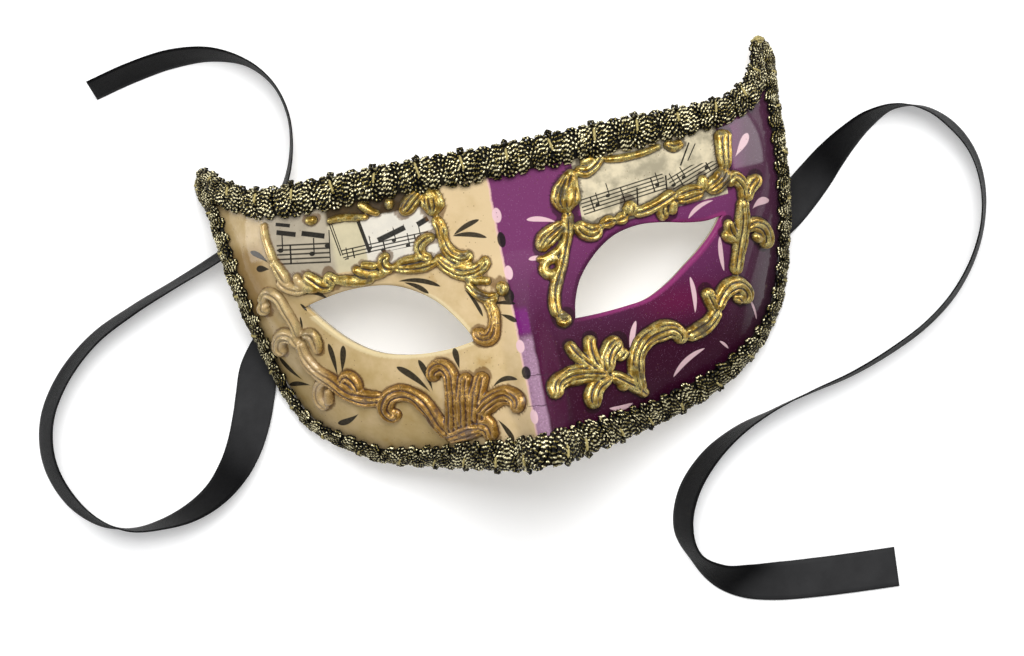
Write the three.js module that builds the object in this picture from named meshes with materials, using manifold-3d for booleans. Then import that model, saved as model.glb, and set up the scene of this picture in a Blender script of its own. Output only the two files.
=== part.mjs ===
// A Venetian half mask that covers the brow, the eyes and the nose. A papier-mache shell carries
// gilded scrolls in relief, its whole edge is trimmed with metal-thread braid, and two satin ribbons
// are glued inside its wings. It lies face up on a table with the ribbons spread out beside it.
// Millimetres, +X to the viewer's right, +Y to the forehead, +Z up. The origin is on the table, under
// the middle of the mask without its ribbons.
import * as THREE from 'three';
import { mergeVertices } from 'three/addons/utils/BufferGeometryUtils.js';
import Module from 'manifold-3d';

const wasm = await Module();
wasm.setup();

// Driving dimensions of the face
const wall = 2.5;
const fitGap = 0.3;
const crownHeight = 45.25;
const crownSlope = 0.06;
const halfWidthAtTop = 90;
const leftWidthShare = 0.973;
const rightWidthShare = 1;
const topOfMask = 57;
const narrowing = 0.0023;
const cornerHeight = 0.15;
const sideArch = 14.5;
const sideArchMiddle = 18;
const sideArchReach = 47;
const hornDip = 7.6;
const cheekLine = -22.75;
const cheekRadius = 25;
const socketDepth = 3;
const socketMiddle = 40;
const noseShoulder = 9;
const noseFoot = 44;
const noseSteepShare = 0.4;
// Crest of the nose as [y, height above the table]
const noseCrest = [[-57, 60.8], [-51, 61], [-41, 59.3], [-27, 55], [-15, 51], [-6, 48.3], [6, 45.8]];

// Outer edge of the braid on each half, from the bottom of the nose round the horn to the forehead
const rightOutline = [
  [0, -56.5], [11, -55.6], [22, -53.8], [36, -51], [50, -46.8], [60, -41.8], [69, -35], [75.5, -27],
  [79.5, -19], [82.3, -9], [84.8, 3], [86.5, 17], [87.5, 30], [88.3, 41], [89.95, 50], [88.6, 56],
  [85.2, 57.6], [82.3, 54.2], [80.8, 48.5], [77, 44], [70, 41], [58, 40], [40, 39.8], [20, 39.2], [0, 38.8],
];
const leftOutline = [
  [0, -56.5], [-11, -56.3], [-22, -54], [-36, -51], [-50, -47], [-60, -41], [-69, -34], [-74.2, -25.6],
  [-77.5, -16], [-80, -6], [-82.3, 3], [-84.6, 15], [-86, 25], [-87.2, 36], [-89.5, 43], [-89.2, 48.3],
  [-86.4, 50.8], [-83.5, 48.5], [-80.5, 45], [-76.5, 42.5], [-70, 40.5], [-58, 39.8], [-40, 39.6],
  [-20, 39.3], [0, 38.8],
];
const braidThickness = 3;
const braidShoulder = 0.62 * braidThickness;
const braidOverhang = 1.2;

// Eye openings as an upper and a lower lid, each from the inner corner to the outer one
const rightEye = {
  upper: [[14.7, -15.5], [15.7, -10.5], [18, -5], [21.5, -0.5], [26, 3.5], [31, 6.3], [38, 7.7], [45, 7.2],
    [52, 5.8], [58, 5.2], [63.5, 6]],
  lower: [[14.7, -15.5], [22, -15.4], [30, -14.8], [37, -13.8], [44, -10.5], [50, -6.5], [55, -3],
    [60, 1.5], [63.5, 6]],
};
const leftEye = {
  upper: [[-15.3, -16.3], [-16.5, -13.5], [-19.5, -8.5], [-24, -3], [-30, 1.5], [-36, 4.2], [-43, 5.3],
    [-50, 5.3], [-57, 4.3], [-63, 3]],
  lower: [[-15.3, -16.3], [-22, -17.2], [-30, -17.2], [-38, -16.2], [-45, -14], [-52, -9.5], [-58, -3.5],
    [-63, 3]],
};

const smooth = THREE.MathUtils.smoothstep;
const lerp = THREE.MathUtils.lerp;

// Straight interpolation in a short list of [position, value] pairs
function between(pairs, position) {
  if (position <= pairs[0][0]) return pairs[0][1];
  for (let i = 1; i < pairs.length; i += 1) {
    const [from, low] = pairs[i - 1];
    const [to, high] = pairs[i];
    if (position <= to) return lerp(low, high, (position - from) / (to - from));
  }
  return pairs.at(-1)[1];
}

// Height of the mask's face over a point of the table: a barrel round the head, with cheeks that
// tuck under, hollow eye sockets, a nose, and side edges that arch clear of the table
function faceHeight(x, y) {
  const side = Math.abs(x);
  const crown = crownHeight + crownSlope * y;
  const widthShare = x < 0 ? leftWidthShare : rightWidthShare;
  const halfWidth = widthShare * (halfWidthAtTop - narrowing * (topOfMask - y) ** 2);
  const archPhase = THREE.MathUtils.clamp((y - sideArchMiddle) / sideArchReach, -1, 1);
  const sideHeight = cornerHeight + sideArch * Math.cos(archPhase * Math.PI / 2) ** 2
    - hornDip * smooth(y, 30, topOfMask);
  const reach = side / halfWidth;
  const barrel = 0.72 * reach ** 2 + 0.28 * reach ** 8;
  const tuck = Math.max(0, cheekLine - y) ** 2 / (2 * cheekRadius);
  const socket = socketDepth * Math.exp(-(((side - socketMiddle) / 22) ** 2) - ((y + 3) / 13) ** 2);
  const noseRise = Math.max(0, between(noseCrest, y) - crown + 0.5 * tuck);
  const noseShare = noseSteepShare * (1 - smooth(side, 1, noseShoulder))
    + (1 - noseSteepShare) * (1 - smooth(side, 0, noseFoot));
  return crown - (crown - sideHeight) * barrel - tuck * (0.5 + 0.5 * smooth(side, 8, 40)) - socket
    + noseRise * noseShare;
}

function facePoint(x, y) {
  return new THREE.Vector3(x, y, faceHeight(x, y));
}

function faceNormal(x, y) {
  const step = 0.4;
  const slopeX = (faceHeight(x + step, y) - faceHeight(x - step, y)) / (2 * step);
  const slopeY = (faceHeight(x, y + step) - faceHeight(x, y - step)) / (2 * step);
  return new THREE.Vector3(-slopeX, -slopeY, 1).normalize();
}

// Point of the wall at a depth under the face. Near the narrow nose it goes straight down, and
// further out along the normal, so that the wall's edge is cut square.
function underFace(x, y, depth) {
  const normal = faceNormal(x, y);
  const square = smooth(Math.abs(x), 15, 30);
  const straightDown = Math.min(depth / normal.z, 2.2 * depth);
  return facePoint(x, y).add(new THREE.Vector3(
    -normal.x * depth * square,
    -normal.y * depth * square,
    -lerp(straightDown, normal.z * depth, square),
  ));
}

function planCurve(points) {
  const spots = points.map(([x, y]) => new THREE.Vector3(x, y, 0));
  return new THREE.CatmullRomCurve3(spots, false, 'centripetal');
}

// Share of a curve's length at which it comes nearest to a point
function shareNearest(curve, x, y) {
  const target = new THREE.Vector3(x, y, 0);
  const steps = 400;
  const distances = curve.getSpacedPoints(steps).map((point) => point.distanceTo(target));
  return distances.indexOf(Math.min(...distances)) / steps;
}

// Point and inward direction at a share of an outline. The point is moved in by a distance, and by
// as much as the braid bulges out over it where the face is steep.
function outlinePoint(curve, side, share, inset) {
  const point = curve.getPointAt(share);
  const along = curve.getTangentAt(share);
  const inward = new THREE.Vector3(-along.y, along.x, 0).multiplyScalar(side);
  if (share === 0) inward.set(0, 1, 0);
  if (share === 1) inward.set(0, -1, 0);
  const bulge = braidShoulder * Math.max(0, -faceNormal(point.x, point.y).dot(inward));
  return { point: point.addScaledVector(inward, inset + bulge), inward };
}

const outlines = {
  right: {
    side: 1,
    curve: planCurve(rightOutline),
    eye: rightEye,
    corner: [79.5, -19],
    middle: [85, 6],
    horn: [86, 57],
  },
  left: {
    side: -1,
    curve: planCurve(leftOutline),
    eye: leftEye,
    corner: [-77, -18],
    middle: [-83, 6],
    horn: [-87.5, 51],
  },
};

function signedVolume(positions) {
  const a = new THREE.Vector3();
  const b = new THREE.Vector3();
  const c = new THREE.Vector3();
  let volume = 0;
  for (let i = 0; i < positions.length; i += 9) {
    a.fromArray(positions, i);
    b.fromArray(positions, i + 3);
    c.fromArray(positions, i + 6);
    volume += a.dot(b.cross(c)) / 6;
  }
  return volume;
}

// Geometry from loose triangles, turned so that the faces point out
function solidGeometry(positions) {
  if (signedVolume(positions) < 0) {
    for (let i = 0; i < positions.length; i += 9) {
      for (let k = 0; k < 3; k += 1) {
        [positions[i + k], positions[i + 3 + k]] = [positions[i + 3 + k], positions[i + k]];
      }
    }
  }
  const geometry = new THREE.BufferGeometry();
  geometry.setAttribute('position', new THREE.Float32BufferAttribute(positions, 3));
  return geometry;
}

function pushQuad(positions, a, b, c, d) {
  for (const corner of [a, b, c, a, c, d]) positions.push(corner.x, corner.y, corner.z);
}

// Closed solid over a row of rings, each the same number of points round a section. The quads on the
// two sides of a section are split along the same way, so that a thin band keeps its thickness in a twist.
function skinRings(rings) {
  const positions = [];
  const sides = rings[0].length;
  for (let i = 1; i < rings.length; i += 1) {
    for (let k = 0; k < sides; k += 1) {
      const next = (k + 1) % sides;
      const corners = [rings[i - 1][k], rings[i - 1][next], rings[i][next], rings[i][k]];
      if (k >= sides / 2) corners.push(corners.shift());
      pushQuad(positions, ...corners);
    }
  }
  const first = rings[0];
  const last = rings.at(-1);
  for (let k = 1; k < sides - 1; k += 1) {
    for (const corner of [first[0], first[k + 1], first[k]]) positions.push(corner.x, corner.y, corner.z);
    for (const corner of [last[0], last[k], last[k + 1]]) positions.push(corner.x, corner.y, corner.z);
  }
  return solidGeometry(positions);
}

function toSolid(geometry) {
  const bare = new THREE.BufferGeometry();
  bare.setAttribute('position', geometry.getAttribute('position'));
  const merged = mergeVertices(bare, 1e-4);
  return new wasm.Manifold(new wasm.Mesh({
    numProp: 3,
    vertProperties: Float32Array.from(merged.getAttribute('position').array),
    triVerts: Uint32Array.from(merged.index.array),
  }));
}

function toGeometry(solid) {
  const mesh = solid.getMesh();
  const geometry = new THREE.BufferGeometry();
  geometry.setAttribute('position', new THREE.BufferAttribute(mesh.vertProperties, 3));
  geometry.setIndex(new THREE.BufferAttribute(mesh.triVerts, 1));
  return geometry;
}

// Columns of the shell run from the eye opening out to the edge. Each stretch gives a share of the
// way round the eye, its matching place on the edge, and its number of steps.
const rowShares = [0, 0.18, 0.42, 0.66, 0.86, 1];
const noseSteps = 7;
const browSteps = 7;
const bottomSteps = 12;
const lowerSideSteps = 4;
const upperSideSteps = 7;
const topSteps = 11;
const innerCornerLevel = -14;

function eyePoint(eye, share) {
  const turn = (share + 1) % 1;
  if (turn < 0.5) return planCurve(eye.lower).getPointAt(turn * 2);
  return planCurve(eye.upper).getPointAt(2 - turn * 2);
}

function shellColumns({ side, curve, eye, corner, middle, horn }) {
  const edge = (share) => outlinePoint(curve, side, share, braidOverhang).point;
  const top = edge(1);
  const bottom = edge(0);
  const level = new THREE.Vector3(0, innerCornerLevel, 0);
  const cornerShare = shareNearest(curve, ...corner);
  const middleShare = shareNearest(curve, ...middle);
  const hornShare = shareNearest(curve, ...horn);
  const stretches = [
    { steps: browSteps, eyes: [0.81, 1], place: (t) => top.clone().lerp(level, t), open: true },
    { steps: noseSteps, eyes: [0, 0.125], place: (t) => level.clone().lerp(bottom, t), open: true },
    { steps: bottomSteps, eyes: [0.125, 0.43], place: (t) => edge(cornerShare * t) },
    { steps: lowerSideSteps, eyes: [0.43, 0.5], place: (t) => edge(lerp(cornerShare, middleShare, t)) },
    { steps: upperSideSteps, eyes: [0.5, 0.56], place: (t) => edge(lerp(middleShare, hornShare, t)) },
    { steps: topSteps, eyes: [0.56, 0.81], place: (t) => edge(lerp(hornShare, 1, t ** 1.2)) },
  ];
  return stretches.flatMap(({ steps, eyes, place, open }) => Array.from({ length: steps }, (_, i) => ({
    inner: eyePoint(eye, lerp(eyes[0], eyes[1], i / steps)),
    outer: place(i / steps),
    open,
  })));
}

// Papier-mache shell, both halves welded along the middle. Raised moves its face out to cut a fit.
function shellSolid(raised) {
  const positions = [];
  for (const half of Object.values(outlines)) {
    const columns = shellColumns(half).map(({ inner, outer, open }) => ({
      open,
      points: rowShares.map((share) => {
        const { x, y } = inner.clone().lerp(outer, share);
        return { face: underFace(x, y, -raised), back: underFace(x, y, wall) };
      }),
    }));
    columns.forEach(({ points, open }, i) => {
      const next = columns[(i + 1) % columns.length].points;
      const addQuad = (...corners) => {
        pushQuad(positions, ...(half.side > 0 ? corners : corners.reverse()));
      };
      for (let k = 1; k < points.length; k += 1) {
        addQuad(points[k - 1].face, points[k].face, next[k].face, next[k - 1].face);
        addQuad(points[k].back, points[k - 1].back, next[k - 1].back, next[k].back);
      }
      addQuad(points[0].back, points[0].face, next[0].face, next[0].back);
      if (!open) addQuad(points.at(-1).face, points.at(-1).back, next.at(-1).back, next.at(-1).face);
    });
  }
  return toSolid(solidGeometry(positions));
}

// One stroke of the gilded relief: a ridge that follows its path over the face, with its widths at
// the start, the middle and the end. Its foot is sunk in the wall.
const reliefHeight = 1.9;
const reliefSink = 1.2;

function stroke({ path, widths, steps = 6, height = reliefHeight }) {
  const curve = planCurve(path);
  const rings = [];
  for (let i = 0; i <= steps; i += 1) {
    const share = i / steps;
    const centre = curve.getPointAt(share);
    const along = curve.getTangentAt(share);
    const middle = 1 - Math.abs(2 * share - 1);
    const ends = share < 0.5 ? widths[0] : widths[2];
    const atEnd = share === 0 || share === 1;
    const width = lerp(ends, widths[1], middle) * (atEnd ? 0.55 : 1);
    const rise = height * (atEnd ? 0.45 : 1);
    const across = new THREE.Vector3(-along.y, along.x, 0);
    rings.push([[-0.5, -reliefSink], [0, rise], [0.5, -reliefSink]].map(([offset, lift]) => {
      const at = centre.clone().addScaledVector(across, offset * width);
      return facePoint(at.x, at.y).addScaledVector(faceNormal(at.x, at.y), lift);
    }));
  }
  return toSolid(skinRings(rings));
}

// Relief of the ivory half
const leftStrokes = [
  { path: [[-71.5, 29], [-70.5, 25], [-68.5, 18], [-65.5, 12]], widths: [2, 2.4, 2.6], steps: 4 },
  { path: [[-67, 14], [-61, 12], [-56, 9.5], [-50, 9], [-44, 10.5]], widths: [2.5, 5, 3.5], steps: 6 },
  { path: [[-46, 9.5], [-40, 9.5], [-34, 10], [-28, 9.5], [-21, 8]], widths: [3.2, 3.6, 3], steps: 6 },
  { path: [[-33, 10.5], [-35.5, 13], [-37.5, 11.5]], widths: [3, 3.2, 2.6], steps: 3 },
  { path: [[-24, 9.5], [-26, 12.5], [-24.5, 15.5], [-21, 15.5], [-19.5, 12]],
    widths: [2.2, 2.4, 2], steps: 6 },
  { path: [[-21, 29.2], [-18.8, 25.5], [-20.3, 21.5]], widths: [3, 6, 3.4], steps: 4, height: 2.6 },
  { path: [[-29, 24], [-25.5, 26], [-22.5, 29.5]], widths: [3, 4.4, 3], steps: 3 },
  { path: [[-53, 28], [-46, 27.6], [-39, 27.8], [-32.5, 26.5]], widths: [2, 2.8, 2.4], steps: 5 },
  { path: [[-19.5, 21], [-18.5, 15.5], [-17.5, 10.5], [-14.5, 8], [-11.2, 9.5]],
    widths: [3, 3.2, 3.4], steps: 7 },
  { path: [[-20.5, 7], [-17.5, 3.6], [-12.5, 2.3], [-8.5, 4.2], [-9, 7]], widths: [3, 3.6, 3], steps: 7 },
  { path: [[-14.5, 0.5], [-11, -3], [-6.5, -5.2], [-4, -2.5]], widths: [2.4, 3, 4], steps: 6 },
  { path: [[-10.5, -4.5], [-8.8, -10], [-9.8, -15.5], [-13.5, -17], [-13.6, -13.5]],
    widths: [2, 2.6, 4], steps: 8 },
  { path: [[-26.5, -41], [-25, -33], [-24, -26], [-25.5, -21.5], [-28.6, -22.5], [-28.8, -25]],
    widths: [3.4, 3.2, 2.6], steps: 8 },
  { path: [[-22, -40], [-21, -32], [-19.2, -24.5]], widths: [3, 2.8, 3.4], steps: 4 },
  { path: [[-19, -39], [-17, -32], [-14, -25.5]], widths: [3, 3.4, 4.2], steps: 4 },
  { path: [[-20, -38], [-15, -34], [-9.5, -32.8], [-6, -35.5], [-6.6, -39]],
    widths: [3.6, 4.4, 3.6], steps: 7 },
  { path: [[-20, -38.5], [-16, -41], [-14.2, -45]], widths: [3, 3.2, 2.8], steps: 3 },
  { path: [[-29, -42.5], [-31, -36], [-34, -30.5], [-39.5, -27.3], [-44.5, -28.6], [-45.2, -33],
    [-41.8, -33.2]], widths: [3, 3.6, 4.4], steps: 11 },
  { path: [[-47, -29], [-52, -27.8], [-58, -23.5], [-63, -17], [-65.3, -10], [-66, -3.5]],
    widths: [3.4, 3.6, 2.6], steps: 8 },
  { path: [[-52, -26], [-51.8, -22.5], [-54, -19.6], [-57, -21]], widths: [2.4, 2.8, 2.2], steps: 5 },
  { path: [[-58, -25], [-61, -27.6], [-64.2, -24.5], [-62.5, -20.5]], widths: [2.6, 2.6, 2.2], steps: 6 },
  { path: [[-63.8, -11], [-60.8, -8.8], [-61.4, -5], [-64.5, -4]], widths: [2.4, 2.8, 2.2], steps: 5 },
  { path: [[-66, -5], [-69.5, -3], [-73, -4.8], [-73.2, -8], [-71.5, -9.5]],
    widths: [2.4, 2.8, 3.4], steps: 6 },
  { path: [[-65.8, -4], [-67.5, 2], [-69.5, 7.5], [-73, 9.2], [-75.2, 6], [-73.8, 4]],
    widths: [2.4, 2.6, 2], steps: 8 },
];

// Relief of the purple half
const rightStrokes = [
  { path: [[22.5, 26.8], [18.6, 20.5], [17.2, 16.2]], widths: [3, 6.8, 3.4], steps: 4, height: 2.6 },
  { path: [[21, 26.6], [27, 27], [32, 28.4], [40, 28], [48, 28.6]], widths: [2.6, 3, 2.6], steps: 6 },
  { path: [[20.5, 7.8], [26, 9.3], [33, 10.2], [40, 11], [47, 12.8]], widths: [3.6, 3.8, 3.4], steps: 7 },
  { path: [[46, 12.5], [52, 13.8], [58, 14.2], [63, 16], [66, 20]], widths: [3.4, 4, 3], steps: 6 },
  { path: [[33.8, 11], [34.8, 14.4], [37.8, 14.6], [38.8, 12]], widths: [2.4, 3, 2.4], steps: 5 },
  { path: [[50, 14], [47.8, 11], [46.8, 7.6]], widths: [3.4, 4, 3.4], steps: 3 },
  { path: [[57.2, 14], [59.4, 18]], widths: [3.4, 3, 2.4], steps: 2 },
  { path: [[17.8, 15.5], [16.4, 9.5], [14, 3.5], [11.6, -5], [9.8, -12], [12, -15.4]],
    widths: [3, 2.8, 3.6], steps: 9 },
  { path: [[16.4, 10.6], [12, 9.8], [8.6, 7.6], [7.6, 4.6]], widths: [3, 4.2, 3.4], steps: 5 },
  { path: [[13.6, 5.5], [9.8, 2.4], [8.2, -0.8], [11, -2]], widths: [2.6, 3.2, 2.8], steps: 5 },
  { path: [[19.5, -33], [14.5, -27.5], [10.4, -21.5]], widths: [2.6, 3, 3.2], steps: 4 },
  { path: [[19.5, -32], [17.6, -26.5], [17.4, -21.2]], widths: [2.6, 3, 3.6], steps: 4 },
  { path: [[20, -33], [21.4, -27.5], [24.5, -24.2], [27.8, -24.5]], widths: [3, 4.4, 4.4], steps: 5 },
  { path: [[20, -33.5], [14, -31.6], [8.5, -32.2], [4.6, -34.2], [4.4, -38]],
    widths: [3.4, 5, 4], steps: 7 },
  { path: [[21, -34], [16.8, -35.6], [14.6, -39], [15.2, -42.6]], widths: [3, 4, 3], steps: 5 },
  { path: [[20.5, -33.5], [25, -35], [30.5, -41]], widths: [3.2, 3.2, 3], steps: 4 },
  { path: [[30, -41], [29.4, -35], [31, -29.5], [36, -24.8], [41.5, -23.6], [44, -26.4], [42, -28.4]],
    widths: [3.4, 4, 4.6], steps: 10 },
  { path: [[45, -27], [50.5, -25.4], [55.5, -21], [59, -16.4], [63.6, -14.2], [66, -17], [63.4, -20.4]],
    widths: [3.2, 3.8, 4.2], steps: 10 },
  { path: [[53.6, -22], [52.6, -18], [53.4, -13.8]], widths: [3, 3.6, 3.6], steps: 3 },
  { path: [[62.8, -12.5], [64.6, -6], [67, 0], [69.5, 6], [71.2, 11]], widths: [2.6, 4, 3.2], steps: 7 },
  { path: [[65.5, -3], [63.8, 1], [64, 4.6]], widths: [3, 3, 2.4], steps: 3 },
  { path: [[69.4, 1.2], [72.5, 3], [75.6, 0.6], [75.8, -3.4], [74.4, -6]],
    widths: [2.8, 3.4, 3], steps: 6 },
  { path: [[70.8, 9], [73, 14.5], [76, 16.8], [77, 13.4]], widths: [2.8, 3.2, 3], steps: 6 },
  { path: [[69.8, 9], [69.6, 14.6], [66.8, 16.8], [65.4, 13.2]], widths: [2.8, 3, 2.8], steps: 6 },
  { path: [[67, 17.5], [66.8, 24], [66, 30.2]], widths: [2.8, 2.6, 2.8], steps: 4 },
  { path: [[67.6, 19], [69.6, 25], [71, 30.5]], widths: [2.4, 2.4, 2.6], steps: 4 },
];

// Metal-thread braid: a domed band of lobes laid on the face along the edge. Margin grows it all
// round, to cut a fit.
const braidWidth = 10.4;
const braidFoot = 0.5;
const lobePitch = 6.5;
const lobeSwell = 0.45;
const noseReach = 24;

// Walks from the outer edge over the face for a true distance
function stepInward(point, inward, distance) {
  const steps = 4;
  const at = point.clone();
  for (let i = 0; i < steps; i += 1) {
    const normal = faceNormal(at.x, at.y);
    const slope = Math.hypot(1, -normal.dot(inward) / normal.z);
    at.addScaledVector(inward, distance / steps / slope);
  }
  return at;
}

function braidRing(point, inward, width, swell, margin) {
  const outward = -swell - margin;
  const inner = width + swell + margin;
  const top = braidThickness + margin;
  const shoulder = braidShoulder + margin;
  const foot = braidFoot - (margin > 0 ? 1.2 : 0);
  const section = [
    [outward, foot], [outward, shoulder], [0.24 * width, top],
    [0.76 * width, top], [inner, shoulder], [inner, foot],
  ];
  return section.map(([distance, lift]) => {
    const at = stepInward(point, inward, distance);
    return facePoint(at.x, at.y).addScaledVector(faceNormal(at.x, at.y), lift);
  });
}

// Rings along one half outline between two shares of its length
function braidRun({ side, curve }, from, to, widthAt, margin, pitch = lobePitch) {
  const length = Math.abs(to - from) * curve.getLength();
  const steps = 2 * Math.max(1, Math.round(length / pitch / 2));
  return Array.from({ length: steps + 1 }, (_, i) => {
    const share = lerp(from, to, i / steps);
    const { point, inward } = outlinePoint(curve, side, share, 0);
    return braidRing(point, inward, widthAt(share), i % 2 === 0 ? -lobeSwell : lobeSwell, margin);
  });
}

function hornWidth(share, hornShare) {
  return braidWidth * lerp(0.5, 1, smooth(Math.abs(share - hornShare), 0, 0.09));
}

function braidTop(margin) {
  const { left, right } = outlines;
  const leftHorn = shareNearest(left.curve, ...left.horn);
  const rightHorn = shareNearest(right.curve, ...right.horn);
  const leftRun = braidRun(left, leftHorn, 1, (share) => hornWidth(share, leftHorn), margin);
  const rightRun = braidRun(right, 1, rightHorn, (share) => hornWidth(share, rightHorn), margin);
  return toSolid(skinRings([...leftRun, ...rightRun.slice(1)]));
}

// From the left horn down, closer stitched over the nose, and up to the right horn
function braidLower(margin) {
  const { left, right } = outlines;
  const leftEnd = shareNearest(left.curve, ...left.horn) - 0.03;
  const rightEnd = shareNearest(right.curve, ...right.horn) - 0.03;
  const leftNose = noseReach / left.curve.getLength();
  const rightNose = noseReach / right.curve.getLength();
  const leftWidth = (share) => hornWidth(share, leftEnd);
  const rightWidth = (share) => hornWidth(share, rightEnd);
  return toSolid(skinRings([
    ...braidRun(left, leftEnd, leftNose, leftWidth, margin),
    ...braidRun(left, leftNose, 0, leftWidth, margin, lobePitch / 2).slice(1),
    ...braidRun(right, 0, rightNose, rightWidth, margin, lobePitch / 2).slice(1),
    ...braidRun(right, rightNose, rightEnd, rightWidth, margin).slice(1),
  ]));
}

function largestBody(solid) {
  return solid.decompose().reduce((best, body) => (body.volume() > best.volume() ? body : best));
}

const grownFace = shellSolid(fitGap);
const topBraid = largestBody(braidTop(0).subtract(grownFace));
const lowerBraid = largestBody(braidLower(0).subtract(braidTop(fitGap)).subtract(grownFace));

const relief = [...leftStrokes, ...rightStrokes].map(stroke)
  .reduce((sum, ridge) => sum.add(ridge))
  .subtract(braidTop(fitGap))
  .subtract(braidLower(fitGap));
const shell = largestBody(shellSolid(0).add(relief));

// Satin ribbons: flat bands that lie or stand on the table, leaning from flat by an angle. At its
// root a band is glued flat to the inside of a wing, and just past it the height is given.
const ribbonWidth = 12;
const ribbonThickness = 0.7;
const ribbonSteps = 40;
const tableGap = 0.25;
const glueDepth = wall + 0.95 + ribbonThickness / 2;

const leftRoute = [
  { at: [-62, 14], glued: true }, { at: [-65.5, 8], glued: true }, { at: [-69, 2], glued: true },
  { at: [-73.6, -3.2], lean: 29, height: 6.4 }, { at: [-78.2, -8], lean: 13, height: 2.4 },
  { at: [-81.8, -13.2], lean: 8 },
  { at: [-84, -19.5], lean: 6 }, { at: [-86.5, -26.5], lean: 12 }, { at: [-90, -34], lean: 24 },
  { at: [-94.5, -40.5], lean: 36 }, { at: [-101, -46.5], lean: 50 }, { at: [-109, -50.5], lean: 62 },
  { at: [-118, -52.4], lean: 76 }, { at: [-128, -52.4], lean: 88 }, { at: [-137, -48.5], lean: 103 },
  { at: [-144.5, -40], lean: 113 }, { at: [-148.5, -28], lean: 116 }, { at: [-147, -15.5], lean: 116 },
  { at: [-140, -4], lean: 114 }, { at: [-128.5, 6], lean: 110 }, { at: [-115, 12.5], lean: 106 },
  { at: [-101, 17.8], lean: 104 }, { at: [-88, 22.7], lean: 106 }, { at: [-78, 27.2], lean: 106 },
  { at: [-69, 33.6], lean: 104 }, { at: [-62.4, 41.5], lean: 100 }, { at: [-58.6, 52], lean: 97 },
  { at: [-57.9, 62], lean: 95 }, { at: [-60.6, 71.5], lean: 94 }, { at: [-67, 79], lean: 96 },
  { at: [-77, 83.6], lean: 106 }, { at: [-89, 84.6], lean: 113 }, { at: [-102, 82.8], lean: 115 },
  { at: [-114.5, 79.8], lean: 115 },
];

const rightRoute = [
  { at: [57, -12.6], glued: true }, { at: [63, -9.8], glued: true }, { at: [69, -6.6], glued: true },
  { at: [75, -2.2], lean: 26, height: 7.2 }, { at: [80, 1.2], lean: 17, height: 3.5 },
  { at: [84.5, 4.2], lean: 12 }, { at: [89.5, 8.2], lean: 18 }, { at: [94.5, 12.5], lean: 26 },
  { at: [99.5, 17], lean: 38 }, { at: [106, 22], lean: 52 },
  { at: [113.5, 26.4], lean: 66 }, { at: [122, 28.6], lean: 85 }, { at: [131, 26.2], lean: 100 },
  { at: [138, 19.6], lean: 107 }, { at: [142.4, 11], lean: 106 }, { at: [143.6, 1], lean: 104 },
  { at: [141.8, -9.5], lean: 102 }, { at: [137, -20], lean: 102 }, { at: [129, -30], lean: 102 },
  { at: [119, -37.6], lean: 101 }, { at: [107, -43.4], lean: 100 }, { at: [94, -48], lean: 98 },
  { at: [81, -51], lean: 95 }, { at: [68.5, -54.3], lean: 90 }, { at: [57, -58.4], lean: 78 },
  { at: [46.5, -65], lean: 67 }, { at: [38.6, -74], lean: 62 }, { at: [35.2, -84], lean: 64 },
  { at: [37.2, -93], lean: 74 }, { at: [43, -99.6], lean: 55 }, { at: [51, -103.4], lean: 30 },
  { at: [61, -105.4], lean: 12 }, { at: [73, -106.6], lean: 4 }, { at: [85, -107.4], lean: 2 },
  { at: [96.5, -108], lean: 2 },
];

// Middle of the band at one spot of its route
function ribbonSpot({ at: [x, y], glued, lean, height }) {
  if (glued) return underFace(x, y, glueDepth);
  const angle = THREE.MathUtils.degToRad(lean);
  const halfSpan = ribbonWidth / 2 * Math.sin(angle) + ribbonThickness / 2 * Math.abs(Math.cos(angle));
  return new THREE.Vector3(x, y, height ?? tableGap + halfSpan);
}

// Direction across the band at one spot, from its right edge to its left one
function ribbonAcross({ at: [x, y], glued, lean }, along) {
  if (glued) return new THREE.Vector3().crossVectors(faceNormal(x, y), along).normalize();
  const angle = THREE.MathUtils.degToRad(lean);
  const left = new THREE.Vector3(-along.y, along.x, 0).normalize();
  return left.multiplyScalar(Math.cos(angle)).add(new THREE.Vector3(0, 0, Math.sin(angle)));
}

function ribbon(route) {
  const path = new THREE.CatmullRomCurve3(route.map(ribbonSpot), false, 'centripetal');
  const last = route.length - 1;
  const across = route.map((spot, i) => ribbonAcross(spot, path.getTangent(i / last)));
  const rings = [];
  for (let i = 0; i <= ribbonSteps; i += 1) {
    const t = path.getUtoTmapping(i / ribbonSteps);
    const before = Math.min(Math.floor(t * last), last - 1);
    const along = path.getTangent(t);
    const width = across[before].clone().lerp(across[before + 1], t * last - before);
    width.addScaledVector(along, -width.dot(along)).normalize();
    const through = new THREE.Vector3().crossVectors(along, width);
    const middle = path.getPoint(t);
    rings.push([[-1, -1], [1, -1], [1, 1], [-1, 1]].map(([u, v]) => middle.clone()
      .addScaledVector(width, u * ribbonWidth / 2)
      .addScaledVector(through, v * ribbonThickness / 2)));
  }
  return skinRings(rings);
}

const papierMache = new THREE.MeshStandardMaterial({ color: 0xcbb78c, roughness: 0.28, metalness: 0 });
const metalThread = new THREE.MeshStandardMaterial({ color: 0x4f4a34, roughness: 0.35, metalness: 0.8 });
const satin = new THREE.MeshStandardMaterial({ color: 0x1d1d20, roughness: 0.45, metalness: 0 });

function part(name, geometry, material) {
  const mesh = new THREE.Mesh(geometry, material);
  mesh.name = name;
  return mesh;
}

const mask = new THREE.Group();
mask.add(
  part('mask_shell', toGeometry(shell), papierMache),
  part('braid_top', toGeometry(topBraid), metalThread),
  part('braid_lower', toGeometry(lowerBraid), metalThread),
  part('ribbon_left', ribbon(leftRoute), satin),
  part('ribbon_right', ribbon(rightRoute), satin),
);

export default mask;
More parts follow.
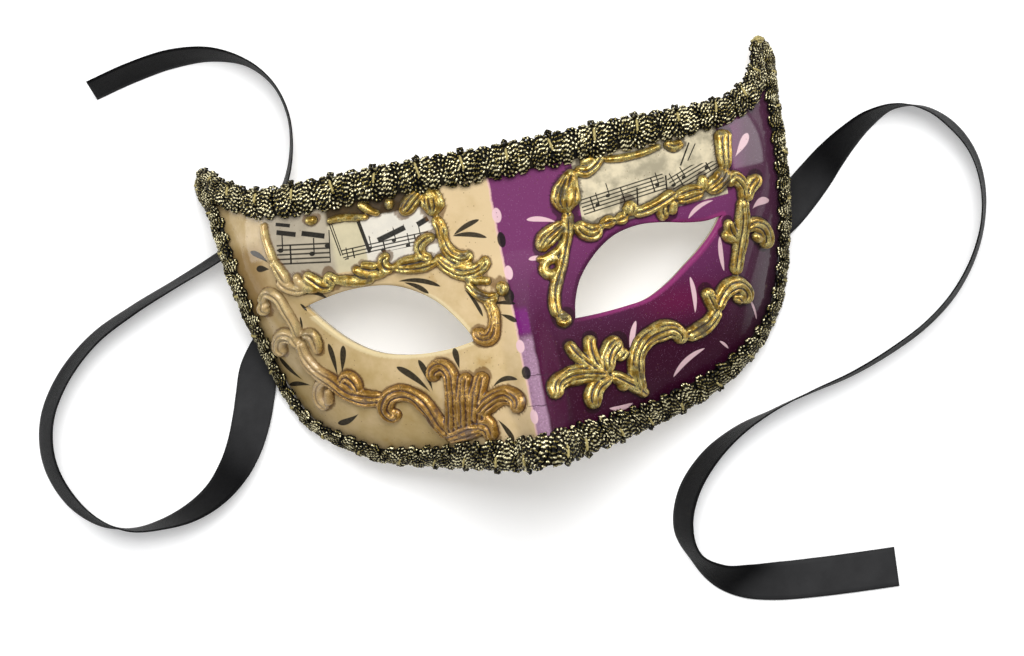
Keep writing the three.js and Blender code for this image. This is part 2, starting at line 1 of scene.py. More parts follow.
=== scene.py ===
# A Venetian half mask lying face up on a pale table: a papier-mache face, ivory on one side and purple on
# the other, with gilded scrolls, printed music, a metal-thread braid and two black satin ribbons.
import math
import random
from functools import partialmethod

import bmesh
import bpy
import numpy as np
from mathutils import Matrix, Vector


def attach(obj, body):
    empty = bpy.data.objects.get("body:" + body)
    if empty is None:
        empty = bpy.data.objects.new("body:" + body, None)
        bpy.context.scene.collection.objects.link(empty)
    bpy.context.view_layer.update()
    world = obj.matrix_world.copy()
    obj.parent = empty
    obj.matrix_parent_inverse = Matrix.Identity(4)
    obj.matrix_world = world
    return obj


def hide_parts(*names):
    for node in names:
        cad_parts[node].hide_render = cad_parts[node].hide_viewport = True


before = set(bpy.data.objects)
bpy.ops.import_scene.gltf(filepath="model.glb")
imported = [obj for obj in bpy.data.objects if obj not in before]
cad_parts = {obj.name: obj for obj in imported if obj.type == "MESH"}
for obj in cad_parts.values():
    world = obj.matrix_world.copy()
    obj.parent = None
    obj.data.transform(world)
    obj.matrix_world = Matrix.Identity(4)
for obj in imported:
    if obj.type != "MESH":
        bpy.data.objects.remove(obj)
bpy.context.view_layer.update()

# Camera: straight above the table, turned so that the mask lies across the picture at its slant.
# Lengths in this script are millimetres until a mesh is made, which is in metres.
MM = 0.001
camera_height = 1100
camera_over = (-3.94, -14.75)
camera_turn = 11.1
pixels_per_mm_on_table = 3.3
picture_width = 1024
sensor_width = 36

camera_data = bpy.data.cameras.new("camera")
camera_data.sensor_width = sensor_width
camera_data.lens = sensor_width * camera_height * pixels_per_mm_on_table / picture_width
camera_data.clip_start = 0.05
camera_data.clip_end = 20
camera = bpy.data.objects.new("camera", camera_data)
camera.location = (camera_over[0] * MM, camera_over[1] * MM, camera_height * MM)
camera.rotation_euler = (0, 0, -math.radians(camera_turn))
bpy.context.scene.collection.objects.link(camera)
bpy.context.scene.camera = camera

# Ribbons: two black satin bands, 12 mm wide, glued flat inside the wings and laid loose on the table.
# They mostly stand on one edge and turn flat at their ends, as soft ribbon does once it is unrolled.
ribbon_width = 12
ribbon_thickness = 0.32
ribbon_body = 0.7
table_gap = 0.25
least_height = 0.05
wall = 2.5
glue_gap = 0.95
glue_depth = wall + glue_gap + ribbon_body / 2

# Each spot of a route: x, y, the ribbon's lean from flat in degrees, and its middle's height where it hangs.
left_route = [
    (-63.4, 14, "glued"), (-67, 8, "glued"), (-70, 2.2, "glued"), (-73.6, -3.2, 29, 6.4),
    (-78.2, -8, 13, 2.4), (-81.8, -13.2, 8), (-84, -19.5, 6), (-86.5, -26.5, 12), (-90, -34, 24),
    (-94.5, -40.5, 36), (-101, -46.5, 50), (-109, -50.5, 62), (-118, -52.4, 76), (-128, -52.4, 88),
    (-137, -48.5, 103), (-144.5, -40, 113), (-148.5, -28, 116), (-147, -15.5, 116), (-140, -4, 114),
    (-128.5, 6, 110), (-115, 12.5, 106), (-101, 17.8, 104), (-88, 22.7, 106), (-78, 27.2, 106),
    (-69, 33.6, 104), (-62.4, 41.5, 100), (-58.6, 52, 97), (-57.9, 62, 95), (-60.6, 71.5, 94),
    (-67, 79, 96), (-77, 83.6, 106), (-89, 84.6, 113), (-102, 82.8, 115), (-114.5, 79.8, 115),
]
right_route = [
    (57, -12.6, "glued"), (63, -9.8, "glued"), (69, -6.6, "glued"), (75, -2.2, 26, 7.2),
    (80, 1.2, 17, 3.5), (84.5, 4.2, 12), (89.5, 8.2, 18), (94.5, 12.5, 26), (99.5, 17, 38),
    (106, 22, 52), (113.5, 26.4, 66), (122, 28.6, 85), (131, 26.2, 100), (138, 19.6, 107),
    (142.4, 11, 106), (143.6, 1, 104), (141.8, -9.5, 102), (137, -20, 102), (129, -30, 102),
    (119, -37.6, 101), (107, -43.4, 100), (94, -48, 98), (81, -51, 95), (68.5, -54.3, 90),
    (57, -58.4, 78), (46.5, -65, 67), (38.6, -74, 62), (35.2, -84, 64), (37.2, -93, 74),
    (43, -99.6, 55), (51, -103.4, 30), (61, -105.4, 12), (73, -106.6, 4), (85, -107.4, 2),
    (96.5, -108, 2),
]

# The mask's face, as heights over the table.
crown_height = 45.25
crown_slope = 0.06
half_width_at_top = 90
left_width_share = 0.973
top_of_mask = 57
narrowing = 0.0023
round_share = 0.72
square_share = 0.28
corner_height = 0.15
side_arch = 14.5
side_arch_middle = 18
side_arch_reach = 47
horn_dip = 7.6
cheek_line = -22.75
cheek_radius = 25
cheek_foot = 40
socket_depth = 3
socket_middle = 40
socket_level = -3
socket_width = 22
socket_length = 13
nose_side = 8
nose_shoulder = 9
nose_foot = 44
nose_steep_share = 0.4
straight_to = 15
square_from = 30
most_drop = 2.2
nose_crest = [(-57, 60.8), (-51, 61), (-41, 59.3), (-27, 55), (-15, 51), (-6, 48.3), (6, 45.8)]


def ease(value, low, high):
    """A smooth step from 0 at low to 1 at high."""
    share = np.clip((value - low) / (high - low), 0, 1)
    return share * share * (3 - 2 * share)


def face_height(x, y):
    """Height of the mask's face over the table: a barrel with tucked cheeks, sockets and a nose."""
    side = np.abs(x)
    crown = crown_height + crown_slope * y
    half_width = half_width_at_top - narrowing * (top_of_mask - y) ** 2
    half_width = np.where(x < 0, left_width_share, 1) * half_width
    arch = np.cos(np.clip((y - side_arch_middle) / side_arch_reach, -1, 1) * math.pi / 2) ** 2
    side_height = corner_height + side_arch * arch - horn_dip * ease(y, 30, top_of_mask)
    reach = side / half_width
    barrel = round_share * reach ** 2 + square_share * reach ** 8
    tuck = np.maximum(0, cheek_line - y) ** 2 / (2 * cheek_radius)
    aside = (side - socket_middle) / socket_width
    socket = socket_depth * np.exp(-aside ** 2 - ((y - socket_level) / socket_length) ** 2)
    rise = np.maximum(0, np.interp(y, *zip(*nose_crest)) - crown + 0.5 * tuck)
    steep = nose_steep_share * (1 - ease(side, 1, nose_shoulder))
    gentle = (1 - nose_steep_share) * (1 - ease(side, 0, nose_foot))
    sunk = tuck * (0.5 + 0.5 * ease(side, nose_side, cheek_foot)) + socket
    return crown - (crown - side_height) * barrel - sunk + rise * (steep + gentle)


def unit(vectors):
    return vectors / np.linalg.norm(vectors, axis=-1, keepdims=True)


def face_normal(x, y):
    step = 0.4
    slope_x = (face_height(x + step, y) - face_height(x - step, y)) / (2 * step)
    slope_y = (face_height(x, y + step) - face_height(x, y - step)) / (2 * step)
    return unit(np.stack([-slope_x, -slope_y, np.ones_like(slope_x)], axis=-1))


def on_face(x, y, lift=0.0):
    """Points at a height over the face, along its normal."""
    flat = np.stack([x, y, face_height(x, y)], axis=-1)
    return flat + face_normal(x, y) * np.reshape(lift, (-1, 1))


def under_face(x, y, depth):
    """Points of the wall at a depth: straight down by the narrow nose, along the normal further out."""
    normal = face_normal(x, y)
    square = ease(np.abs(x), straight_to, square_from)
    straight = np.minimum(depth / normal[..., 2], most_drop * depth)
    down = straight + (normal[..., 2] * depth - straight) * square
    shift = np.stack([normal[..., 0] * depth * square, normal[..., 1] * depth * square, down], axis=-1)
    return np.stack([x, y, face_height(x, y)], axis=-1) - shift


def curve_through(points, per_span=24):
    """A smooth line through points, even where they are unevenly spaced."""
    spots = np.asarray(points, float)
    spots = np.vstack([2 * spots[0] - spots[1], spots, 2 * spots[-1] - spots[-2]])
    share = np.linspace(0, 1, per_span, endpoint=False)[:, None]
    line = []
    for before, start, end, after in zip(spots, spots[1:], spots[2:], spots[3:]):
        gaps = [math.sqrt(np.linalg.norm(b - a)) for a, b in ((before, start), (start, end), (end, after))]
        first = (start - before) / gaps[0] - (end - before) / (gaps[0] + gaps[1]) + (end - start) / gaps[1]
        second = (end - start) / gaps[1] - (after - start) / (gaps[1] + gaps[2]) + (after - end) / gaps[2]
        first = first * gaps[1]
        second = second * gaps[1]
        cubic = 2 * start - 2 * end + first + second
        square = -3 * start + 3 * end - 2 * first - second
        line.append(start + first * share + square * share ** 2 + cubic * share ** 3)
    return np.vstack([*line, spots[-2:-1]])


def length_along(line):
    steps = np.linalg.norm(np.diff(line, axis=0), axis=1)
    return np.concatenate([[0], np.cumsum(steps)])


def between(wanted, places, rows):
    """Rows that stand at given places, read at the wanted places between them."""
    return np.stack([np.interp(wanted, places, axis) for axis in rows.T], axis=-1)


def at_shares(line, shares):
    """Points at shares of a line's length."""
    travelled = length_along(line)
    return between(np.asarray(shares) * travelled[-1], travelled, line)


def tangents(line):
    return unit(np.gradient(line, axis=0))


def over_table(spots):
    """Points in metres, with none below the table's top."""
    return np.column_stack([spots[:, :2], np.maximum(spots[:, 2], least_height)]) * MM


def laid_grid(bm, along, across, place, size=(1, 1)):
    """Adds a grid of cells, each corner where place(u, v) puts it, with its UV in millimetres of size."""
    made = bmesh.ops.create_grid(bm, x_segments=along, y_segments=across, size=0.5)["verts"]
    shares = np.array([(vert.co.x + 0.5, vert.co.y + 0.5) for vert in made])
    uv_of = dict(zip(made, shares * size))
    for vert, spot in zip(made, over_table(place(shares[:, 0], shares[:, 1]))):
        vert.co = spot
    layer = bm.loops.layers.uv.verify()
    for vert in made:
        for loop in vert.link_loops:
            loop[layer].uv = uv_of[vert]
    return made


def finish_piece(bm, name, material, weld=0.0):
    """Turns a bmesh into a smooth piece that rides on the mask."""
    if weld:
        bmesh.ops.remove_doubles(bm, verts=bm.verts[:], dist=weld * MM)
    bmesh.ops.recalc_face_normals(bm, faces=bm.faces[:])
    for polygon in bm.faces:
        polygon.smooth = True
    mesh = bpy.data.meshes.new(name)
    bm.to_mesh(mesh)
    bm.free()
    mesh.materials.append(material)
    piece = bpy.data.objects.new(name, mesh)
    bpy.context.scene.collection.objects.link(piece)
    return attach(piece, "root")


def points_of(piece):
    """The piece's points, in millimetres."""
    spots = np.empty(len(piece.data.vertices) * 3)
    piece.data.vertices.foreach_get("co", spots)
    return spots.reshape(-1, 3) / MM


def store(piece, name, values):
    """Keeps a number for each of the piece's points, for its material."""
    piece.data.attributes.new(name, "FLOAT", "POINT").data.foreach_set("value", np.asarray(values, "f"))


def paint(code):
    """The linear colour of a hex code."""
    colour = []
    for i in (0, 2, 4):
        level = int(code[i:i + 2], 16) / 255
        colour.append(level / 12.92 if level < 0.04045 else ((level + 0.055) / 1.055) ** 2.4)
    return (*colour, 1.0)


class Wire:
    """A shader socket that takes part in Python arithmetic."""

    def __init__(self, shade, socket):
        self.shade = shade
        self.socket = socket

    def math(self, operation, *others):
        return self.shade.node("Math", {"operation": operation}, dict(enumerate([self, *others])))

    def __rsub__(self, other):
        return self.shade.node("Math", {"operation": "SUBTRACT"}, {0: other, 1: self})

    __add__ = __radd__ = partialmethod(math, "ADD")
    __sub__ = partialmethod(math, "SUBTRACT")
    __mul__ = __rmul__ = partialmethod(math, "MULTIPLY")
    __truediv__ = partialmethod(math, "DIVIDE")
    __pow__ = partialmethod(math, "POWER")
    __abs__ = partialmethod(math, "ABSOLUTE")
    __gt__ = partialmethod(math, "GREATER_THAN")
    __lt__ = partialmethod(math, "LESS_THAN")
    most = partialmethod(math, "MAXIMUM")
    least = partialmethod(math, "MINIMUM")
    sine = partialmethod(math, "SINE")
    cosine = partialmethod(math, "COSINE")
    floor = partialmethod(math, "FLOOR")
    fraction = partialmethod(math, "FRACT")

    def ease(self, low, high):
        """A smooth step from 0 at low to 1 at high, which may be the lesser."""
        settings = {"interpolation_type": "SMOOTHSTEP"}
        return self.shade.node("MapRange", settings, {"Value": self, "From Min": low, "From Max": high})


class Shade:
    """One material, with its Principled shader and the nodes that feed it."""

    def __init__(self, name, **plain):
        self.material = bpy.data.materials.new(name)
        self.material.use_nodes = True
        self.tree = self.material.node_tree
        self.shader = self.tree.nodes["Principled BSDF"]
        for socket, value in plain.items():
            self.set(socket.replace("_", " ").title().replace("Ior", "IOR"), value)

    def node(self, kind, settings=None, inputs=None, output=0):
        """Adds a node: its settings first, then the values or links of its sockets."""
        made = self.tree.nodes.new("ShaderNode" + kind)
        for key, value in (settings or {}).items():
            setattr(made, key, value)
        for key, value in (inputs or {}).items():
            self.feed(made.inputs[key], value)
        return Wire(self, made.outputs[output])

    def feed(self, socket, value):
        """Gives a socket a link, a value, or a colour by its hex code."""
        if isinstance(value, Wire):
            self.tree.links.new(value.socket, socket)
        else:
            socket.default_value = paint(value) if isinstance(value, str) else value

    def set(self, socket, value):
        self.feed(self.shader.inputs[socket], value)

    def coordinate(self, kind):
        return self.node("TexCoord", output=kind)

    def stored(self, name):
        """A number that the piece keeps for each of its points or faces."""
        return self.node("Attribute", {"attribute_name": name}, output=2)

    def placed(self, vector, place, turn, scale):
        """A pattern's own coordinates, from its place, its turn in radians and its scale."""
        inputs = {"Vector": vector, "Location": (*place, 0), "Rotation": (0, 0, turn), "Scale": (*scale, 1)}
        return self.node("Mapping", {"vector_type": "TEXTURE"}, inputs)

    def millimetres(self):
        return self.scaled(self.coordinate("Object"), (1 / MM, 1 / MM, 1 / MM))

    def scaled(self, vector, factors):
        return self.node("VectorMath", {"operation": "MULTIPLY"}, {0: vector, 1: factors})

    def parts(self, vector):
        split = self.node("SeparateXYZ", None, {0: vector})
        return split, Wire(self, split.socket.node.outputs[1]), Wire(self, split.socket.node.outputs[2])

    def joined(self, x, y):
        return self.node("CombineXYZ", None, {0: x, 1: y})

    def length(self, vector):
        return self.node("VectorMath", {"operation": "LENGTH"}, {0: vector}, output=1)

    def noise(self, vector, scale, detail=2.0, roughness=0.5):
        inputs = {"Vector": vector, "Scale": scale, "Detail": detail, "Roughness": roughness}
        return self.node("TexNoise", None, inputs)

    def mix(self, share, first, second):
        return self.node("Mix", {"data_type": "RGBA"}, {0: share, 6: first, 7: second}, output=2)

    def layers(self, colour, coats):
        """Lays each coat of paint over the colour, by its share."""
        for share, coat in coats:
            colour = self.mix(share, colour, coat)
        return colour

    def bump(self, height, distance, strength):
        return self.node("Bump", None, {"Height": height, "Distance": distance, "Strength": strength})


warp_lines = 21
weft_lines = 14


def satin():
    """Black satin: fine warp lines along the band, a corded selvedge, a slow shift of sheen, and a painted
    sheen that is lighter where the band lies flat and darker where it stands.
    """
    shade = Shade("black_satin", specular_ior_level=0.04)
    along, across, _ = shade.parts(shade.coordinate("UV"))
    warp = (across * warp_lines).sine() * 0.5 + 0.5
    weft = (along * weft_lines).sine() * 0.5 + 0.5
    cloudy = shade.noise(shade.coordinate("Object"), 160, 3)
    edge = abs(across - ribbon_width / 2).ease(ribbon_width / 2 - 0.9, ribbon_width / 2 - 0.4)
    # Painted sheen and shade: the band is lighter where it lies flat and darker where it stands on edge.
    cloth = shade.mix(shade.stored("flat").ease(0.75, 1), "0f0f10", "3a3a3b")
    shade.set("Base Color", shade.mix(cloudy * 0.5, cloth, "0a0a0b"))
    shade.set("Roughness", 0.36 + 0.16 * warp + 0.1 * cloudy)
    shade.set("Normal", shade.bump(warp * 0.6 + weft * 0.3 + edge, 0.00006, 0.7))
    return shade.material


black_satin = satin()
ribbon_steps = 420
ribbon_ribs = 8
path_points = 120
cup_height = 0.25
cup_waves = 41


def ribbon(name, route):
    """A ribbon on its route, cupped a little now one way and now the other."""
    centres = []
    for x, y, lean, *height in route:
        if lean == "glued":
            centres.append(under_face(*np.array([[x], [y]], float), glue_depth)[0])
        else:
            lean = math.radians(lean)
            half_span = ribbon_width / 2 * math.sin(lean) + ribbon_body / 2 * abs(math.cos(lean))
            centres.append(np.array([x, y, height[0] if height else table_gap + half_span]))
    line = curve_through(centres)
    total = length_along(line)[-1]
    ways = tangents(line)
    across = []
    for (x, y, lean, *_), way in zip(route, ways[::(len(line) - 1) // (len(route) - 1)]):
        if lean == "glued":
            across.append(unit(np.cross(face_normal(*np.array([[x], [y]], float))[0], way)))
        else:
            lean = math.radians(lean)
            left = unit(np.array([-way[1], way[0], 0]))
            across.append(left * math.cos(lean) + np.array([0, 0, math.sin(lean)]))
    across = curve_through(across)
    across = unit(across - ways * np.sum(across * ways, axis=1, keepdims=True))

    def place(u, v):
        travelled = length_along(line) / total
        width = unit(between(u, travelled, across))
        through = np.cross(unit(between(u, travelled, ways)), width)
        cup = cup_height * (1 - (2 * v - 1) ** 2) * np.sin(u * cup_waves)
        return at_shares(line, u) + width * ((v - 0.5) * ribbon_width)[:, None] + through * cup[:, None]

    bm = bmesh.new()
    laid_grid(bm, ribbon_steps, ribbon_ribs, place, (total, ribbon_width))
    piece = finish_piece(bm, name, black_satin)
    # How flat the band lies at each point, which the satin uses for its painted sheen.
    normals = np.empty(len(piece.data.vertices) * 3)
    piece.data.vertex_normals.foreach_get("vector", normals)
    store(piece, "flat", np.abs(normals[2::3]))
    cloth = piece.modifiers.new("cloth", "SOLIDIFY")
    cloth.thickness = ribbon_thickness * MM
    cloth.offset = 0
    return piece, at_shares(line, np.linspace(0, 1, path_points)) * MM, total * MM


for side, route in (("left", left_route), ("right", right_route)):
    band, path, long = ribbon("satin_ribbon_" + side, route)
    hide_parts("ribbon_" + side)
    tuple(path[0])
    [list(point) for point in path]

# Painted shell: the papier-mache face itself, pressed in a mould, 2.5 mm thick and open behind. It is
# gessoed, painted ivory and purple, given its brush strokes and paper panels, and varnished.
right_outline = [
    (0, -56.5), (11, -55.6), (22, -53.8), (36, -51), (50, -46.8), (60, -41.8), (69, -35), (75.5, -27),
    (79.5, -19), (82.3, -9), (84.8, 3), (86.5, 17), (87.5, 30), (88.2, 41), (89.4, 50), (88, 55.2),
    (84.9, 56.6), (82.3, 53.8), (80.8, 48.5), (77, 44), (70, 41), (58, 40), (40, 39.8), (20, 39.2), (0, 38.8),
]
left_outline = [
    (0, -56.5), (-11, -56.3), (-22, -54), (-36, -51), (-50, -47), (-60, -41), (-69, -34), (-74.2, -25.6),
    (-77.5, -16), (-80, -6), (-82.3, 3), (-84.6, 15), (-86, 25), (-87.2, 36), (-89.5, 43), (-89.2, 47.6),
    (-86.4, 49.9), (-83.5, 48.5), (-80.5, 45), (-76.5, 42.5), (-70, 40.5), (-58, 39.8), (-40, 39.6),
    (-20, 39.3), (0, 38.8),
]
right_eye = {
    "upper": [(14.7, -15.5), (15.7, -10.5), (18, -5), (21.5, -0.5), (26, 3.5), (31, 6.3), (38, 7.7),
              (45, 7.2), (52, 5.8), (58, 5.2), (63.5, 6)],
    "lower": [(14.7, -15.5), (22, -15.4), (30, -14.8), (37, -13.8), (44, -10.5), (50, -6.5), (55, -3),
              (60, 1.5), (63.5, 6)],
}
left_eye = {
    "upper": [(-15.3, -16.3), (-16.5, -13.5), (-19.5, -8.5), (-24, -3), (-30, 1.5), (-36, 4.2), (-43, 5.3),
              (-50, 5.3), (-57, 4.3), (-63, 3)],
    "lower": [(-15.3, -16.3), (-22, -17.2), (-30, -17.2), (-38, -16.2), (-45, -14), (-52, -9.5), (-58, -3.5),
              (-63, 3)],
}
braid_shoulder = 1.86
braid_overhang = 1.2
inner_corner_level = -14
pared_away = 0.7
pared_between = (40, 46)
shell_rows = 44


class Outline:
    """One half of the mask's edge, from the bottom of the nose round the horn to the forehead."""

    def __init__(self, side, points, eye, corner, middle, horn):
        self.side = side
        self.line = curve_through(points)
        self.length = length_along(self.line)[-1]
        self.ways = tangents(self.line)
        self.eye = {lid: curve_through(spots) for lid, spots in eye.items()}
        self.corner, self.middle, self.horn = [self.nearest(spot) for spot in (corner, middle, horn)]

    def nearest(self, spot):
        far = np.linalg.norm(self.line - np.array(spot), axis=1)
        return length_along(self.line)[np.argmin(far)] / self.length

    def edge(self, shares, inset=0.0):
        """Points of the edge and their inward directions, moved in by the braid's bulge and an inset."""
        shares = np.asarray(shares, float)
        travelled = length_along(self.line) / self.length
        point = between(shares, travelled, self.line)
        way = unit(between(shares, travelled, self.ways))
        inward = np.stack([-way[:, 1], way[:, 0]], axis=-1) * self.side
        inward[shares <= 0] = (0, 1)
        inward[shares >= 1] = (0, -1)
        normal = face_normal(point[:, 0], point[:, 1])[:, :2]
        bulge = braid_shoulder * np.maximum(0, -np.sum(normal * inward, axis=1))
        return point + inward * (inset + bulge)[:, None], inward

    def eye_point(self, shares):
        shares = np.mod(shares + 1, 1)
        lower = at_shares(self.eye["lower"], np.clip(shares * 2, 0, 1))
        upper = at_shares(self.eye["upper"], np.clip(2 - shares * 2, 0, 1))
        return np.where((shares < 0.5)[:, None], lower, upper)


right_half = Outline(1, right_outline, right_eye, (79.5, -19), (85, 6), (86, 57))
left_half = Outline(-1, left_outline, left_eye, (-77, -18), (-83, 6), (-87.5, 51))


def shell_columns(half):
    """Matching points round the eye and round the edge of one half."""
    top, bottom = half.edge([1, 0], braid_overhang)[0]
    top[0] = bottom[0] = 0
    level = np.array([0, inner_corner_level])

    def nose(start, end):
        return lambda t: start + (end - start) * t[:, None]

    def edge(start, end, bunching=1.0):
        return lambda t: half.edge(start + (end - start) * t ** bunching, braid_overhang)[0]

    # How many columns, the share of the eye that they leave, and the line that they reach.
    stretches = [
        (26, (0.81, 1), nose(top, level)),
        (26, (0, 0.125), nose(level, bottom)),
        (64, (0.125, 0.43), edge(0, half.corner)),
        (20, (0.43, 0.5), edge(half.corner, half.middle)),
        (40, (0.5, 0.56), edge(half.middle, half.horn)),
        (64, (0.56, 0.81), edge(half.horn, 1, 1.2)),
    ]
    inner = []
    outer = []
    for count, (start, end), place in stretches:
        share = np.arange(count) / count
        inner.append(half.eye_point(start + (end - start) * share))
        outer.append(place(share))
    return np.vstack([*inner, inner[0][:1]]), np.vstack([*outer, top])


def back_of_wall(x, y):
    """The inside of the shell, pared thin where the braid wraps the horns."""
    return under_face(x, y, wall * (1 - pared_away * ease(y, *pared_between)))


def shell_mesh():
    """Both halves as rows of cells from the eye to the edge, bowed through the neck up to a horn."""
    bm = bmesh.new()
    for half, neck in ((right_half, (78.6, 39)), (left_half, (-80.6, 37.5))):
        inner, outer = shell_columns(half)
        count = len(inner) - 1
        bow = ease(outer[:, 1], 38, 48)[:, None] * (np.array(neck) - (inner + outer) / 2)

        def place(u, v):
            at_column = np.rint(u * count).astype(int)
            share = v[:, None]
            spot = inner[at_column] * (1 - share) + outer[at_column] * share
            spot = spot + bow[at_column] * 2 * share * (1 - share)
            return np.column_stack([spot, np.zeros(len(spot))])

        laid_grid(bm, count, shell_rows, place)
    bmesh.ops.remove_doubles(bm, verts=bm.verts[:], dist=0.02 * MM)
    copy = bmesh.ops.extrude_face_region(bm, geom=bm.faces[:], use_keep_orig=True)["geom"]
    fronts = {item for item in copy if isinstance(item, bmesh.types.BMVert)}
    for chosen, place in ((fronts, on_face), (set(bm.verts) - fronts, back_of_wall)):
        chosen = list(chosen)
        plan = np.array([vert.co[:2] for vert in chosen]) / MM
        for vert, spot in zip(chosen, over_table(place(plan[:, 0], plan[:, 1]))):
            vert.co = spot
    return bm


# Each brush leaf: its start, its end, its width, how far it bows, and perhaps how fat its head is.
black_strokes = [
    ((-75.7, 22.4), (-70.6, 17.6), 1.9, 0.4), ((-74.9, 17), (-70.8, 16), 2.3, 0.1),
    ((-64, 6.8), (-55.4, 3.9), 1.8, 1.5, 0), ((-63.9, 4.3), (-62.4, 1.8), 1.1, 0.1, 0),
    ((-64.8, 0.6), (-64.9, -3), 0.9, 0, 0), ((-74.2, -9.8), (-67.9, -18.4), 1.5, -0.5),
    ((-73.2, -18.6), (-65.9, -20.2), 1.7, 0.5), ((-58.1, -8.8), (-57.4, -19.4), 1.8, 0.2),
    ((-53.8, -10.2), (-56, -18.6), 2.1, 0.1), ((-60.6, -32.8), (-53.2, -30.8), 2.2, -0.6),
    ((-39.4, -19.4), (-30.6, -29.2), 2.3, 0.7), ((-32.6, -18.6), (-30.2, -29), 2, 0.5),
    ((-21.6, -17.2), (-21.2, -23.8), 2.1, 0), ((-5.2, -29.6), (-12.8, -30.6), 1.9, -1.3, 1),
    ((-9.6, -47), (-13.4, -39.6), 1.7, -0.3), ((-11.6, -9.9), (-15.4, -1), 1.4, -0.5, 0.8),
    ((-1.6, -8), (-7.6, -6.8), 1.6, -0.3, 0.6), ((-2.2, -13.2), (-6.8, -10), 1.7, -0.2),
    ((-22, 1.1), (-34, 5), 1.9, -1, 0.6), ((-25.8, -0.2), (-32.4, 4.4), 1.8, -0.5, 0.8),
    ((-7.2, 18), (-15.4, 15), 2, -0.4, 0.5), ((-6, 12.4), (-15.8, 14.8), 2, -0.7, 0.4),
]
pink_strokes = [
    ((6.2, 15.3), (14.6, 13), 2, 0.5, 0.8), ((4.6, 3.9), (9.8, 3.1), 1.8, 0.3, 0.8),
    ((32, -19.6), (28.8, -29.4), 2.2, -0.5, 0.5), ((19.4, -43.2), (26.6, -43.2), 2, -0.6, 0),
    ((40, -38.2), (51, -31.6), 2.1, 1.1, 0), ((50.4, -10), (49.9, -20.8), 1.9, 0.5, 0.4),
    ((61.4, 0), (60.9, -10.4), 1.9, -0.3, 0.3), ((78.4, 8), (72.6, 6), 2.6, -0.8, 1.6),
    ((53, 6.8), (61.4, 10.7), 1.7, 1, 0.4), ((75.6, 28.4), (70, 21.8), 2.6, 0.2, 1.8),
    ((67.2, -19.4), (68.6, -26.4), 1, 0.4, 0), ((55.8, -30.4), (58.2, -33.2), 1.1, 0.2, 0),
]
pale_dots = [(-2, 18.2, 1.35, 2.2), (-1.8, 1.2, 1.2, 2.1), (-2.6, -20.4, 1.2, 1.9), (-2.6, -41, 1.1, 2.1)]
black_dots = [(-2, 11, 1.2, 2.3), (-3, -5.5, 1.5, 2.1), (-2.4, -28.2, 1.3, 1.9)]


def stroke_frame(shade, spot, start, end, width):
    """Coordinates along a straight stroke and across it, 1 at its end and at its width."""
    turn = math.atan2(end[1] - start[1], end[0] - start[0])
    return shade.parts(shade.placed(spot, start, turn, (math.dist(start, end), width)))[:2]


def brush_leaf(shade, spot, start, end, width, bend, head=1.6):
    """Mask of one leaf of paint: fat near its start when head is over 0, thin at its end, and bowed."""
    along, across = stroke_frame(shade, spot, start, end, width)
    body = along * (1 - along)
    bowed = abs(across - body * (4 * bend / width))
    half_width = body ** 0.55 * (0.92 + 0.4 * head - along * (0.8 * head))
    return (half_width - bowed).ease(0.02, 0.12)


def oval(shade, spot, x, y, half_width, half_height):
    """Distance from an oval's middle, 1 on its edge."""
    return shade.length(shade.scaled(shade.placed(spot, (x, y), 0, (half_width, half_height)), (1, 1, 0)))


def ruled(shade, spot, start, end, width):
    """Mask of one straight printed bar."""
    along, across = stroke_frame(shade, spot, start, end, width)
    return (abs(along - 0.5) < 0.5) * abs(across).ease(0.56, 0.4)


line_gap = 1.06
note_gap = 3.7
bar_gap = 9.3
head_size = 0.66
stem_length = 3.6


def stave(shade, spot, origin, turn, length, seed, size=1.0):
    """Ink of a made-up row of music: five lines, bars, and notes in an order of no tune."""
    along, up, _ = shade.parts(shade.placed(spot, origin, math.radians(turn), (size, size)))
    inside = (along > 0) * (along < length)
    lines = (abs((up / line_gap + 0.5).fraction() - 0.5) * line_gap).ease(0.26, 0.12)
    lines = lines * (abs(up - 2 * line_gap) < 2.2 * line_gap)
    bars = abs((along / bar_gap + 0.15).fraction() - 0.5) < 0.022
    bars = bars * (abs(up - 2 * line_gap) < 2.1 * line_gap)
    cell = (along / note_gap).floor()
    chance = shade.node("TexWhiteNoise", {"noise_dimensions": "1D"}, {"W": cell + seed}, output=0)
    level = chance * 4.2 * line_gap - 0.4 * line_gap
    beside = (along / note_gap).fraction() * note_gap - 0.9
    rise = up - level
    head = shade.length(shade.joined(beside, rise * 1.3)) < head_size
    stem = (abs(beside - 0.5) < 0.15) * (rise > 0) * (rise < stem_length)
    return ((head.most(stem) * (chance > 0.3)).most(bars).most(lines * 0.95)) * inside


thick_bars = [
    ((-66.6, 26.2), (-61, 24.4), 1.5), ((-59.2, 24.4), (-52.6, 22.2), 1.6),
    ((-66.4, 28.6), (-62.2, 27.3), 1.1), ((-50.6, 25.6), (-49, 15.6), 0.35),
    ((-49.9, 25.4), (-48.4, 15.6), 0.3), ((-42, 24.4), (-40.4, 14.8), 1.1),
    ((-37.4, 17.8), (-28.9, 20), 1.7), ((-25.2, 20), (-21.8, 21.2), 1.7),
    ((39, 13.4), (39.7, 18.4), 0.5), ((48.2, 15.4), (48.7, 20.4), 0.5),
    ((53.6, 22.4), (57.4, 28.6), 0.5), ((56, 23.4), (59.2, 28), 0.35),
]
meeting_line = 2.75


